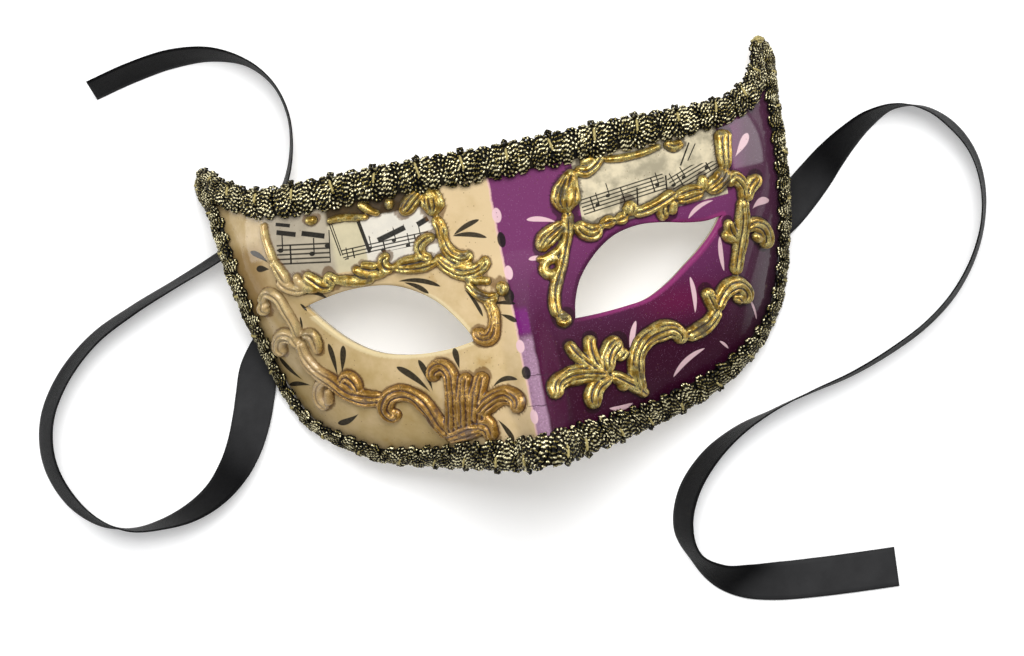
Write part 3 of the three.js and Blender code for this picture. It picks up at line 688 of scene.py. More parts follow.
def painted_face():
    """Gesso under aged paint with painted shade and highlights, a glittering lilac nose strip, paper, brush
    marks and varnish.
    """
    shade = Shade("painted_varnish", coat_roughness=0.08, specular_ior_level=0.1)
    spot = shade.millimetres()
    x, y, _ = shade.parts(spot)
    broad = shade.noise(spot, 0.045, 3)
    patchy = shade.noise(spot, 0.16, 4, 0.6)
    fine = shade.noise(spot, 1.6, 3)
    side = x + 0.9 * (patchy - 0.5) + 0.35 * (fine - 0.5)
    bevel = (shade.stored("lid") + 0.5 * (fine - 0.5)).ease(1.5, 0.7)

    # Ivory: yellowed patches with painted shade darker towards the lower left, brown by the left edge, and a
    # paler lower lid that is a painted highlight on the eye's cut edge.
    aged_and_shaded = (broad + patchy - 1 + (0 - x) * 0.007 - (y + 10) * 0.005).ease(-0.1, 0.75)
    browned = (0 - x + 3 * patchy).ease(70, 77) * abs(y - 13).ease(13, 8)
    ivory = shade.layers((0.66, 0.5, 0.285, 1), [
        (aged_and_shaded, (0.46, 0.325, 0.13, 1)),
        ((patchy - 0.62).ease(0, 0.12) * 0.35, "a97f3e"),
        (browned * 0.75, "8c6c3a"),
        # The paler lower lid is a painted highlight on the eye's cut edge.
        (bevel * 0.5 * (y < 0), "efe0b4"),
    ])

    # Purple: darker below and at the wing, painted shade on the nose's right flank, magenta on the lower lid,
    # lilac and glitter by the nose.
    low = (0 - y + 8 * (broad - 0.5)).ease(-14, 30)
    cheek = shade.length(shade.joined((x - 46) * 0.45, y + 16)).ease(9, 0)
    # The nose's right flank is darkened as painted shade.
    nose_flank_shade = shade.length(shade.joined((x - 4.6) * 3.4, (y + 32) * 0.55)).ease(13, 8)
    wing = (x - 0.1 * y + 4 * patchy).ease(66, 76)
    strip = (1.4 - side).ease(-0.5, 0.6) * (-18 - y).ease(-2, 2)
    violet = abs(y + 13.5).ease(5, 2.5) * abs(side + 0.8).ease(2.6, 1.6)
    glitter = shade.node("TexVoronoi", None, {"Vector": spot, "Scale": 2.7})
    sparks = (0.24 - glitter).ease(0, 0.08) * (strip * 0.9 + 0.28) * (fine - 0.48).ease(0, 0.1)
    purple = shade.layers((0.165, 0.032, 0.12, 1), [
        (low, (0.036, 0.002, 0.016, 1)),
        (cheek * 0.75, (0.12, 0.004, 0.045, 1)),
        (nose_flank_shade * 0.8, (0.07, 0.002, 0.035, 1)),
        (wing * 0.8, (0.055, 0.02, 0.035, 1)),
        (bevel * 0.85 * (x - y).ease(24, 44), (0.27, 0.033, 0.15, 1)),
        (bevel * 0.8 * (x - y).ease(38, 20), (0.05, 0.006, 0.03, 1)),
        (strip, shade.mix(fine, (0.2, 0.1, 0.17, 1), (0.42, 0.26, 0.36, 1))),
        (violet * 0.85, (0.16, 0.008, 0.15, 1)),
        (sparks, "d9a8d4"),
    ])

    # The two paints meet in a pale fringe left of the nose's ridge, and the nose strip is cracked.
    purple_side = (side + meeting_line).ease(-0.15, 0.15)
    fringe = abs(side + meeting_line).ease(0.5, 0.1)
    wander = y + 1.2 * (shade.noise(spot, 0.5, 2) - 0.5) + 0.12 * x
    cracks = abs(wander + 29.4).least(abs(wander + 38.2)).ease(0.22, 0.08) * abs(x).ease(4.4, 3)

    # Paper: a torn strip of printed music over each eye.
    left_paper = (x + 0.2 * y + 64.1 + 0.5 * fine).ease(0, 0.3) * (-20 - x).ease(0, 0.3)
    left_paper = left_paper * (y - 10.8 + 0.05 * (x + 45) + patchy).ease(0, 0.3)
    right_paper = (x - 22).ease(0, 0.3) * (66.3 - x).ease(0, 0.3) * (y - 8.5 - 0.07 * (x - 20)).ease(0, 0.3)
    paper = left_paper.most(right_paper)
    older = shade.layers("a89d8b", [((x + 51).ease(-1, 1), "cac09e"), ((x + 41.4).ease(-0.4, 0.4), "e4dfd4")])
    ink = stave(shade, spot, (-68.2, 17), -9, 12.6, 3, 1.28)
    ink = ink.most(stave(shade, spot, (-48.4, 12.8), 1, 26, 11) * (y > 14.2))
    ink = ink.most(stave(shade, spot, (23, 13.6), 7, 25.6, 23))
    ink = ink.most(stave(shade, spot, (50.4, 15), 20, 17, 31) * (y < 22))
    for bar in thick_bars:
        ink = ink.most(ruled(shade, spot, *bar))
    sheet = shade.layers("dccfb0", [
        (patchy.ease(0.35, 0.7), "a39a82"),
        ((x < 0) * 0.75, older),
        (ink * (0.92 + 0.08 * fine), "0d0c0a"),
    ])

    # Brown patina and painted shade round the foot of the scrolls, near black on the purple, and a dark glaze
    # under the braid.
    foot_patina_and_shade = (shade.stored("patina_and_shade") + 0.5 * (fine - 0.5) + 0.4 * (patchy - 0.5)).ease(0.45, 0.9)
    glaze = (y - 24.6 + 2 * (patchy - 0.5)).ease(0, 0.8) * abs(x + 37.5).ease(14.5, 13)
    colour = shade.layers(ivory, [
        (purple_side, purple),
        (fringe * 0.7, "e3b9b4"),
        (cracks * 0.7, "3a1830"),
        (paper, sheet),
        # Patina and painted shade at the scrolls' foot: brown on the ivory, near black on the purple.
        (foot_patina_and_shade * 0.7, shade.mix(purple_side, "5e3c14", "1c0a0c")),
        (glaze * 0.96, shade.mix(fine, "140d04", "4a3410")),
    ])

    # Brush marks over it all, brown flecks, and bare paper inside and on the forehead's cut rim.
    for strokes, dots, tone in ((pink_strokes, pale_dots, "e0bcc2"), (black_strokes, black_dots, "100e09")):
        mark = brush_leaf(shade, spot, *strokes[0])
        for leaf in strokes[1:]:
            mark = mark.most(brush_leaf(shade, spot, *leaf))
        for dot in dots:
            mark = mark.most(oval(shade, spot, *dot).ease(1.08, 0.9))
        colour = shade.mix(mark * (0.88 + 0.12 * fine), colour, tone)
    flecks = shade.node("TexVoronoi", None, {"Vector": spot, "Scale": 0.55})
    colour = shade.mix((0.11 - flecks).ease(0, 0.04) * 0.55, colour, "5a3a20")
    depth = shade.stored("depth")
    inside = depth.ease(1.5, 2.2).most(depth.ease(0.4, 1) * y.ease(35, 37))
    colour = shade.mix(inside, colour, shade.mix(patchy, "b5a68a", "d8cdb6"))
    shade.set("Base Color", colour)
    glossy = (abs(x) + 0.25 * y).ease(52, 72)
    shade.set("Coat Weight", (0.03 + 0.5 * glossy) * (1 - 0.8 * paper) * (1 - inside))
    shade.set("Roughness", 0.5 + 0.16 * fine)
    shade.set("Normal", shade.bump(patchy + 0.3 * fine, 0.00025, 0.35))
    return shade.material


shell = finish_piece(shell_mesh(), "painted_shell", painted_face())
shell_plan = points_of(shell)[:, :2]
shell_height = points_of(shell)[:, 2]
lid_lines = np.vstack([line[::3] for half in (right_half, left_half) for line in half.eye.values()])
store(shell, "lid", np.linalg.norm(shell_plan[:, None] - lid_lines[None], axis=2).min(axis=1))
store(shell, "depth", face_height(shell_plan[:, 0], shell_plan[:, 1]) - shell_height)
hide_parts("mask_shell")

# Gilded scrolls: strokes of gesso piped on to the face, fluted along their length and run into each
# other, then gilded. Burnished gold shows on the ridges, and brown patina is left at the foot.
scroll_height = 2.0
scroll_sink = 1.2
scroll_voxel = 0.3
scroll_swell = 1.2
flute_width = 1.5
plain_width = 3.4
stroke_step = 0.5
stroke_sides = 32
blur_steps = 9
blur_share = 0.7

# Each stroke: its flutes, its widths along it, and its path over the face.
left_brow = [
    (1, (3, 5.4, 6.4, 3), [(-20.8, 30), (-19.8, 27.5), (-19.7, 24.6), (-20.5, 21.4)]),
    (2, (3, 4.2, 4.4, 3), [(-21.6, 29.6), (-25, 27.4), (-27.6, 25.2), (-29.6, 24)]),
    (1, (2, 2.8, 2), [(-32.3, 29.4), (-32, 27.6), (-33.6, 26.8)]),
    (1, (1.6, 2.4, 2, 1.4), [(-41, 29.8), (-39.2, 28), (-37.4, 26.4), (-35, 25.2)]),
    (1, (1.4, 2, 1.8, 1.4), [(-51, 26.2), (-46.6, 26.4), (-42, 25.6), (-38.4, 25)]),
    (1, (1.8, 2.6, 1.8), [(-57.2, 28.4), (-55.4, 27.4), (-53.6, 28.2)]),
    (2, (3, 3.2, 3, 3.4, 3.8, 3),
     [(-19.9, 21.6), (-18.6, 17.5), (-18.4, 13.4), (-16.9, 9.9), (-13.6, 8), (-11, 9.2)]),
    (2, (2.2, 3, 3.2, 2.6), [(-22.6, 9.6), (-25.2, 11), (-25.8, 13.6), (-23.2, 15.6), (-20.6, 15.4)]),
    (2, (2.6, 3.4, 4, 3.8, 3.2), [(-21.6, 10.6), (-19.4, 7), (-15.6, 4), (-11, 3.7), (-8.1, 5.4), (-9.2, 7)]),
    (1, (1.8, 2.2, 2), [(-18.4, 6.2), (-14.6, 5.8), (-11.4, 6.2)]),
    (1, (1.6, 2.4, 2), [(-14.6, 1.4), (-10.6, 0.6), (-7, -0.4)]),
    (1, (2, 2.6, 3, 3.4), [(-14.2, 0.8), (-12.3, -2.6), (-9, -5), (-5.8, -5.2)]),
    (1, (2.6, 3.4, 2.6), [(-5.6, -5), (-4.4, -3.4), (-4.9, -0.6)]),
    (2, (2.6, 3, 3.2, 4, 4.2, 3.6),
     [(-9.8, -5), (-8.3, -9), (-8.7, -13), (-10.8, -16.4), (-13.4, -15.6), (-13.4, -12.4)]),
    (1, (1.8, 3, 2.8, 1.8), [(-20.8, 8.6), (-25, 7.9), (-30, 8.1), (-34.4, 9.2)]),
    (1, (1.4, 2, 2, 1.6), [(-23, 11), (-27, 10.7), (-31, 10.6), (-35, 9.2)]),
    (2, (2.2, 3.4, 3, 2), [(-34.2, 8.8), (-36.8, 9.8), (-37, 12.2), (-34.6, 13.2)]),
    (1, (1.6, 2.6, 2.6, 1.8), [(-36, 8.6), (-39.4, 8.2), (-43, 9.4), (-46.4, 11.6)]),
    (1, (1.4, 2, 1.6), [(-38.6, 10.8), (-41.6, 11.4), (-43.8, 12.4)]),
    (1, (1.6, 2.6, 2.8, 2), [(-40.4, 7.2), (-44, 7.2), (-47.6, 8), (-52.6, 9.4)]),
    (1, (2.6, 4, 2.6), [(-52, 7.6), (-53.4, 9.6), (-53.8, 12)]),
    (2, (2.2, 3.6, 3.4, 2), [(-52.4, 7.6), (-55.8, 8), (-58.4, 10.2), (-60.8, 13)]),
    (1, (1.8, 2.8, 2.6, 1.6), [(-56.8, 7.4), (-60.2, 8.6), (-62.8, 11), (-63, 13.4)]),
    (2, (2.2, 3, 3, 2), [(-60.4, 8.2), (-64, 8.6), (-67, 10.2), (-68.6, 12.8)]),
    (1, (2.4, 3.2, 2.6, 2), [(-66, 10.4), (-67.2, 13.2), (-68.2, 16), (-69.4, 18.6)]),
    (1, (1.8, 2, 1.8, 1.6), [(-68.8, 17.6), (-69.6, 21.6), (-70, 25.6), (-69.6, 30)]),
]
left_wing = [
    (1, (2, 3.6, 3), [(-73.6, 3.6), (-75, 5), (-74.6, 7.6)]),
    (2, (2.6, 2.8, 2.6, 2.4, 2.2),
     [(-75.6, 6.6), (-73.2, 9.4), (-70.4, 7.6), (-68.6, 3.4), (-67, -1), (-66.2, -5.4)]),
    (2, (2.2, 3, 4.2, 3.6, 2), [(-66.8, -8), (-68.8, -4.6), (-71.8, -4.2), (-73, -7), (-71.6, -9.6)]),
    (2, (2, 3.2, 3.4, 1.8), [(-65.4, -4.6), (-62.6, -5.2), (-61.4, -8.4), (-61.2, -11.4)]),
    (2, (2.4, 3, 3.4, 4, 4.4, 4),
     [(-66.2, -6), (-65.8, -11), (-63.6, -15.6), (-59, -20), (-54, -24.8), (-48.6, -27.2), (-44.6, -27.6)]),
    (1, (2, 3.2, 3.4, 2.4), [(-51.2, -25), (-52.2, -21.4), (-54.4, -19.2), (-56.8, -20.8)]),
    (2, (2.2, 3, 3, 2.2), [(-60.4, -19), (-63.4, -20.6), (-64.2, -24.2), (-62, -27.8)]),
    (1, (1.8, 2.4, 2), [(-60.6, -21.4), (-61, -24.4), (-61.4, -27)]),
    (2, (3.4, 3.6, 4, 4.2, 4, 4.4, 4.6, 4, 3),
     [(-27.6, -42.5), (-30, -38), (-32.4, -33), (-35.6, -28.9), (-39.6, -27), (-43.2, -27.8),
      (-45, -30.8), (-43, -33.4), (-41.2, -31.6)]),
]
left_palmette = [
    (2, (4, 4, 3.6, 3.8, 4.6, 3.4),
     [(-26.4, -41.5), (-25.4, -35), (-24.4, -28.6), (-24, -24.4), (-26, -21.8), (-28.6, -23),
      (-28.6, -26)]),
    (2, (4.2, 4, 3.6, 3.4), [(-22.6, -41), (-21.6, -34), (-20.4, -28.4), (-19, -24.8)]),
    (2, (4.2, 4, 4, 4.2), [(-19.4, -40), (-17.8, -33), (-15.8, -28.6), (-14.4, -25.4)]),
    (2, (4, 5, 5.2, 4.6, 2.6), [(-18.6, -38), (-14.6, -35), (-9.8, -33.4), (-6.4, -35.4), (-6.9, -39.4)]),
    (2, (4, 4.2, 3.4), [(-19.4, -40.4), (-16, -41.6), (-15.4, -46)]),
    (1, (2, 2.2, 1.6), [(-16.6, -38), (-14.8, -40.6), (-14.2, -43.4)]),
    (1, (3, 4.4, 3), [(-28.6, -42.6), (-23, -42), (-17, -42)]),
]
right_brow = [
    (2, (2, 4.6, 7.6, 7.4, 3), [(22, 27.4), (20.2, 23.6), (18.8, 20), (18.2, 17.2), (18.2, 14.6)]),
    (2, (2.4, 3.4, 3, 2), [(22.4, 27), (25.6, 25.8), (28.8, 27.2), (31.4, 30)]),
    (1, (1.8, 2.6, 2), [(24.4, 28.6), (27, 28.8), (29, 29.6)]),
    (1, (1.8, 2, 1.8, 1.6), [(31.4, 28.2), (37, 27.7), (43, 28), (49, 29.2)]),
    (1, (2, 3, 2.2), [(49.6, 29.6), (52.6, 28.2), (55.6, 29.2)]),
    (2, (3, 4.8, 4.6, 3), [(20.6, 12.2), (21.8, 9.4), (24.2, 8), (27.4, 9.6)]),
    (1, (2.6, 3.6, 3), [(26.6, 9.8), (29.4, 10.2), (31.8, 10.4)]),
    (1, (2.4, 3.4, 3), [(31.2, 10), (33.6, 10.6), (35.4, 11.6)]),
    (1, (3, 4.4, 3.2), [(35.4, 10.8), (36.4, 13), (36.2, 15.4)]),
    (2, (3, 3.2, 3.4, 3.4), [(36.8, 11.2), (41, 11.6), (45.4, 12.9), (50.6, 15.2)]),
    (1, (2.4, 3.2, 2.8), [(46.6, 13), (45.4, 10.2), (46.4, 7.6)]),
    (1, (2.2, 2.8, 2.4), [(49.6, 13.4), (48.8, 10.8), (48.4, 8.6)]),
    (2, (3, 4.8, 4.6, 3), [(49.6, 13.4), (52.4, 13.6), (55.4, 13.9), (59, 13.6)]),
    (1, (2.2, 2.6, 2), [(58.6, 13.6), (58.9, 16.2), (59.4, 18.8)]),
    (2, (3, 5, 5, 3), [(59.6, 13.4), (62, 14.8), (64.6, 16.4), (66.8, 19.6)]),
    (2, (3.4, 3, 2.8, 3, 3.2, 3.4, 3),
     [(18.4, 15.4), (17.4, 10), (15.4, 4.8), (13.2, -0.6), (10.6, -6), (9.4, -11), (9.8, -14.6)]),
    (1, (3.4, 4.6, 3), [(9.6, -13.6), (11.2, -15.2), (12.8, -13.6)]),
    (2, (2.6, 4.4, 5, 3.2), [(17, 12.4), (13.6, 10.6), (10.2, 8.4), (8.2, 5.2)]),
    (1, (1.8, 2.2, 1.6), [(16.2, 7.6), (12.8, 4.4), (9, 3.2), (6.6, 3.6)]),
    (1, (2.2, 2.6, 2.8, 2.2), [(13.4, 2.6), (9.6, 2.2), (8.2, -0.2), (10.2, -1.9), (12.2, -0.4)]),
]
right_wing = [
    (2, (3, 4.4, 4.8), [(66.4, 18.6), (67, 24.6), (67.9, 31)]),
    (2, (3, 3.4, 3.8, 3), [(70.2, 8.6), (70.6, 13.2), (68.4, 16.4), (65.9, 14)]),
    (2, (2.6, 3.2, 4, 3.2), [(70.6, 8.6), (72.6, 12.4), (75, 14.8), (75.6, 16.4)]),
    (2, (3, 3.8, 4, 3.4, 2.8), [(70, 10), (68.9, 4), (67.4, -1.4), (65.6, -6.6), (63.6, -12)]),
    (2, (2.6, 3.6, 4.4, 4, 2.4), [(69.2, 0.2), (71.8, 1.9), (74.6, 0.4), (75.3, -3), (73.6, -5.8)]),
    (1, (1.6, 2.4, 1.8), [(71, -1.2), (72.4, -2.2), (73, -4)]),
    (1, (2, 3, 2.2), [(66.2, -1.8), (64.6, 1), (64.4, 4.8)]),
    (1, (2.4, 2.8, 2), [(66, -2), (63.6, -0.6), (62.2, 1.4)]),
    (2, (3, 3.8, 4.4, 4.6, 4.2, 2.6),
     [(55.8, -21.6), (57.8, -18), (61, -15.2), (64.4, -15), (66, -17.8), (64.6, -21)]),
    (2, (2, 2.8, 2), [(61.8, -18.4), (63.4, -19), (64.4, -20.8)]),
    (2, (3.2, 3.8, 3.4), [(56, -21.6), (55, -17.6), (53.9, -14)]),
    (2, (3.8, 4.2, 4, 3.2), [(45.2, -27), (49.6, -26), (53.4, -24.2), (56.8, -20.6)]),
]
right_palmette = [
    (2, (2.8, 2.8, 3.2, 3.2), [(20, -33), (15.8, -29.6), (12.4, -25.6), (10.8, -21.6)]),
    (2, (2.8, 3.2, 3.6, 3.4), [(19, -32.6), (17.4, -27.8), (17.2, -23.6), (18, -21)]),
    (3, (3.2, 4.4, 5.2, 4.4), [(20.6, -33.2), (21.2, -29), (23.4, -25.8), (26.6, -24)]),
    (1, (2, 3, 2), [(24, -30), (25.8, -28.4), (27.8, -27.2)]),
    (3, (3, 5, 5.2, 4.6, 3), [(20.8, -33.2), (15, -32), (9, -31.9), (5, -33.4), (4.4, -37.6)]),
    (3, (3, 4.6, 4.8, 3), [(21.4, -33.8), (17.6, -35.4), (15.2, -38.4), (14.6, -42.6)]),
    (2, (3, 3.6, 3.6, 2.6), [(21, -33.4), (25, -36), (28.4, -38.6), (31.2, -41.8)]),
    (1, (1.6, 2.2, 1.6), [(23.4, -36), (24, -37.6), (25.4, -38.6)]),
    (2, (3.6, 4, 4.2, 4.4, 4.8, 5.4, 4.6, 3),
     [(29.2, -40.4), (28.9, -35), (30, -29.8), (33, -26), (37.4, -24.2), (41.6, -24),
      (43.8, -26.2), (42.6, -28.6)]),
]
left_scrolls = left_brow + left_wing + left_palmette
right_scrolls = right_brow + right_wing + right_palmette


def gesso_stroke(bm, flutes, widths, path):
    """One piped stroke: a swollen band with flutes along it, rounded off at both ends."""
    line = curve_through(path)
    long = length_along(line)[-1]
    side = np.stack([-tangents(line)[:, 1], tangents(line)[:, 0]], axis=-1)
    widths = np.array(widths) * scroll_swell
    if flutes > 1 or max(widths) > plain_width:
        flutes = max(flutes, int(max(widths) / flute_width))
    phase = 1.7 * path[0][0] + 0.9 * path[0][1]
    height = scroll_height * (0.72 + 0.09 * max(widths))

    def place(u, v):
        across = unit(between(u, length_along(line) / long, side))
        width = np.interp(u, np.linspace(0, 1, len(widths)), widths)
        from_end = np.minimum(u, 1 - u) * long / (0.5 * width)
        rounding = np.sqrt(np.clip(1 - (1 - np.minimum(from_end, 1)) ** 2, 0, 1))
        swell = 1 + 0.035 * np.sin(u * long * 0.9 + phase) + 0.015 * np.sin(u * long * 2.3 - phase)
        turn = v * 2 * math.pi
        share = np.cos(turn)
        offset = share * width / 2 * rounding * swell
        drift = share + 0.07 * np.sin(u * long * 0.3 + phase)
        groove = (0.5 + 0.5 * np.cos(math.pi * flutes * (drift + 1))) ** 3
        body = np.clip(np.sin(turn), 0, 1)
        top = height * (0.3 + 0.7 * rounding) * swell * body ** 1.05 * (1 - 0.5 * groove * (flutes > 1))
        lift = np.where(turn < math.pi, top * rounding, scroll_sink * np.sin(turn))
        spot = at_shares(line, u) + across * offset[:, None]
        return on_face(spot[:, 0], spot[:, 1], lift)

    laid_grid(bm, max(10, round(long / stroke_step)), stroke_sides, place)


def run_together(bm, name):
    """Fuses overlapping strokes in one skin of even cells, and smooths it."""
    mesh = bpy.data.meshes.new(name)
    bmesh.ops.remove_doubles(bm, verts=bm.verts[:], dist=0.01 * MM)
    bmesh.ops.recalc_face_normals(bm, faces=bm.faces[:])
    bm.to_mesh(mesh)
    bm.free()
    rough = bpy.data.objects.new(name, mesh)
    bpy.context.scene.collection.objects.link(rough)
    skin = rough.modifiers.new("skin", "REMESH")
    skin.mode = "VOXEL"
    skin.voxel_size = scroll_voxel * MM
    softened = rough.modifiers.new("softened", "SMOOTH")
    softened.factor = 0.5
    softened.iterations = 1
    ready = rough.evaluated_get(bpy.context.evaluated_depsgraph_get())
    fused = bmesh.new()
    fused.from_mesh(ready.to_mesh())
    ready.to_mesh_clear()
    bpy.data.objects.remove(rough)
    bpy.data.meshes.remove(mesh)
    return fused


def store_lift(piece):
    """Keeps each point's height over the face and how far it lies below its surroundings."""
    x, y, z = points_of(piece).T
    count = len(x)
    lift = (z - face_height(x, y)) * face_normal(x, y)[:, 2]
    ends = np.empty(len(piece.data.edges) * 2, int)
    piece.data.edges.foreach_get("vertices", ends)
    first, second = ends.reshape(-1, 2).T
    links = np.bincount(first, minlength=count) + np.bincount(second, minlength=count)
    around = np.maximum(lift, 0)
    for _ in range(blur_steps):
        total = np.bincount(first, around[second], count) + np.bincount(second, around[first], count)
        around += blur_share * (total / np.maximum(links, 1) - around)
    store(piece, "lift", lift)
    store(piece, "hollow", around - np.maximum(lift, 0))


def gilding():
    """Leaf gold, brass on the purple side and brow, and coppery at the lower left, with patina."""
    shade = Shade("gilding", coat_weight=0.35, coat_roughness=0.12)
    spot = shade.millimetres()
    x, y, _ = shade.parts(spot)
    blotches = shade.noise(spot, 0.45, 4)
    grain = shade.noise(spot, 2.4, 3)
    copper = (0 - y + 6 * (blotches - 0.5)).ease(3, 15) * (x < 0)
    faded = (0 - x + 3 * (blotches - 0.5)).ease(58, 64) * (0.65 + 0.35 * (15 - y).ease(0, 4))
    gold = shade.mix(copper, "a3802f", "926a24")
    pale = shade.mix(copper, "f2de88", "d2a552")
    worn = shade.mix((blotches + 0.5 * (grain - 0.5)).ease(0.4, 0.66), gold, pale)
    worn = shade.mix(faded * (0.6 + 0.4 * grain), worn, "c4a97a")
    foot = 1 - (shade.stored("lift") + 1.1 * (grain - 0.5)).ease(0.25, 1.05)
    crease = (shade.stored("hollow") + 0.08 * (grain - 0.5)).ease(0.02, 0.1)
    specks = (grain + 0.8 * (blotches - 0.5) - 0.54).ease(0, 0.12)
    tarnish = (shade.noise(spot, 0.13, 3) + 0.35 * (blotches - 0.5) - 0.6).ease(0, 0.06)
    stain = foot.most(crease).most(specks * 0.8).most(tarnish * 0.85) * (1 - faded * 0.5)
    tone = shade.mix(copper, "2e200c", "46280c")
    shade.set("Base Color", shade.mix(stain, worn, tone))
    shade.set("Metallic", (0.76 - 0.2 * copper) * (1 - 0.85 * stain) * (1 - 0.85 * faded))
    shade.set("Roughness", 0.24 + 0.3 * stain + 0.16 * grain)
    shade.set("Normal", shade.bump(grain + 0.5 * blotches, 0.00014, 0.5))
    return shade.material


patina_and_shade_reach = 0.9


def near_scroll_foot(strokes):
    """How near each point of the shell is to a scroll's foot, where patina and painted shade lie."""
    nearest = np.full(len(shell_plan), np.inf)
    shares = np.linspace(0.1, 0.9, 24)
    for _, widths, path in strokes:
        line = at_shares(curve_through(path), shares)
        half_width = np.interp(shares, np.linspace(0, 1, len(widths)), widths) / 2 * scroll_swell
        far = np.linalg.norm(shell_plan[:, None] - line[None], axis=2) - half_width
        nearest = np.minimum(nearest, far.min(axis=1))
    return np.clip(1 - nearest / patina_and_shade_reach, 0, 1)


gilt = gilding()
store(shell, "patina_and_shade", near_scroll_foot(left_scrolls + right_scrolls))
for name, strokes in (("left", left_scrolls), ("right", right_scrolls)):
    bm = bmesh.new()
    for stroke in strokes:
        gesso_stroke(bm, *stroke)
    scrolls = finish_piece(run_together(bm, "gesso_" + name), "gilded_scrolls_" + name, gilt)
    store_lift(scrolls)
    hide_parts("mask_shell")

# Braid: a metal-thread gimp round the whole edge. Each repeat has two shells of wire-wound cord, one
# open to each side, tied across with straw-gold thread, and a small dark loop at the outer edge.
braid_width = 10.4
braid_repeat = 13.2
cord_radius = 0.54
cord_sides = 5
bead_pitch = 1.3
bead_waist = 0.72
bead_belly = 1.12
cord_tip = 0.4
horn_wrap = 1.1
horn_wrap_outside = 0.22
# The braid is tugged narrower or wider on its way: its width at shares of each half's outline.
left_widths = [
    (0, 10.6), (0.1, 11.6), (0.16, 10.2), (0.2, 8.4), (0.3, 7.8), (0.36, 7), (0.5, 6.9), (0.58, 6.8),
    (0.642, 6.6), (0.7, 8.6), (0.75, 10.4), (1, 10.9),
]
right_widths = [
    (0, 10.6), (0.05, 11.2), (0.1, 12.2), (0.17, 12.6), (0.25, 11.2), (0.3, 9.6), (0.35, 8), (0.4, 6.8),
    (0.5, 6.3), (0.58, 6.9), (0.644, 6.6), (0.7, 8.4), (0.75, 9), (0.85, 10.6), (1, 10.9),
]
walk_steps = 4
strip_step = 0.6
strip_rows = np.linspace(-0.15, 1.1, 26)
# Each cord of a braid shell: the shares of the shell's width and depth that its bend takes up.
shell_cords = [(1.08, 0.96), (0.88, 0.83), (0.68, 0.7), (0.48, 0.57), (0.28, 0.44)]


class EdgeStrip:
    """The flat strip along a run of the mask's edge, and where its points lie on the face."""

    def __init__(self, runs):
        plans = []
        for half, start, end in runs:
            shares = np.linspace(start, end, 2 + round(abs(end - start) * half.length / strip_step))
            point, inward = half.edge(shares)
            wrap = np.where(shares > half.horn, horn_wrap, horn_wrap_outside)
            point = point - inward * (wrap * ease(np.abs(shares - half.horn), 0.09, 0.04))[:, None]
            width = np.interp(shares, *zip(*(right_widths if half is right_half else left_widths)))
            plans.append(np.stack([self.walk(point, inward, width * row) for row in strip_rows], axis=1))
        self.plan = np.concatenate(plans)
        middle = self.plan[:, len(strip_rows) // 2]
        self.travelled = length_along(on_face(middle[:, 0], middle[:, 1]))
        self.length = self.travelled[-1]

    def walk(self, point, inward, distance):
        """Goes inward over the face for a true distance."""
        at = point.copy()
        for _ in range(walk_steps):
            normal = face_normal(at[:, 0], at[:, 1])
            slope = np.hypot(1, -np.sum(normal[:, :2] * inward, axis=1) / normal[:, 2])
            at += inward * (distance / walk_steps / slope)[:, None]
        return at

    def place(self, along, across, lift):
        """Points at a length along the strip, a share across it and a height over the face."""
        index = np.interp(along, self.travelled, np.arange(len(self.travelled)))
        row = np.interp(across, strip_rows, np.arange(len(strip_rows)))
        i = np.clip(index.astype(int), 0, len(self.travelled) - 2)
        j = np.clip(row.astype(int), 0, len(strip_rows) - 2)
        past = (index - i)[:, None]
        over = (row - j)[:, None]
        plan = (self.plan[i, j] * (1 - past) * (1 - over) + self.plan[i + 1, j] * past * (1 - over)
                + self.plan[i, j + 1] * (1 - past) * over + self.plan[i + 1, j + 1] * past * over)
        return on_face(plan[:, 0], plan[:, 1], lift)


def braid_dome(across):
    """Height of the braid's middle layer over the face, across its width."""
    return 0.75 + 1.5 * np.clip(1 - np.abs(2 * across - 1) ** 3.2, 0, 1)


def wound_cord(bm, strip, centre, radius, kind):
    """A wire-wound cord along a line of (along, across, lift), beaded, with its kind stored."""
    line = curve_through(centre, 8)
    scaled = line * (1, braid_width, 1)
    long = length_along(scaled)[-1]
    rings = max(6, 2 * round(long / bead_pitch))
    shares = np.arange(rings + 1) / rings
    middle = at_shares(scaled, shares)
    way = tangents(middle)
    out = unit(np.stack([-way[:, 1], way[:, 0], np.zeros(len(way))], axis=-1))
    up = np.cross(way, out)

    def place(u, v):
        at = np.rint(u * rings).astype(int)
        turn = v * 2 * math.pi
        swell = radius * np.where(at % 2 == 0, bead_waist, bead_belly)
        swell = swell * np.where((at == 0) | (at == rings), cord_tip, 1)
        sideways = out[at] * (np.cos(turn) * swell)[:, None]
        upward = up[at] * (np.sin(turn) * swell)[:, None]
        spot = middle[at] + sideways + upward
        return strip.place(spot[:, 0], spot[:, 1] / braid_width, spot[:, 2])

    made = laid_grid(bm, rings, cord_sides, place, (rings / 2, 1))
    layer = bm.faces.layers.float["kind"]
    for polygon in {polygon for vert in made for polygon in vert.link_faces}:
        polygon[layer] = kind


def braid_shell(strip, bm, start, long, inward, rng):
    """Cords laid side by side in round bends, one inside the other, open to one edge of the braid."""
    for spread, depth in shell_cords:
        spots = []
        for turn in np.linspace(-0.12, 1.12, 11) * math.pi:
            along = start + long / 2 * (1 - math.cos(turn) * spread) + rng.uniform(-0.2, 0.2)
            across = 0.2 + (depth - 0.2) * math.sin(turn) + rng.uniform(-0.02, 0.02)
            across = min(max(across, 0.02), 0.98)
            lift = braid_dome(across) + 0.4 * math.sin(turn) * spread + rng.uniform(-0.25, 0.2)
            spots.append((along, across if inward else 1 - across, lift))
        wound_cord(bm, strip, spots, cord_radius, rng.uniform(0, 0.6))


web_step = 1.5
web_ribs = 8
web_edge = 0.1
web_span = 0.77
web_depth = 0.3
knob_radius = 0.6
tie_radius = 0.45
knob_kind = 0.95
tie_kind = 2.0


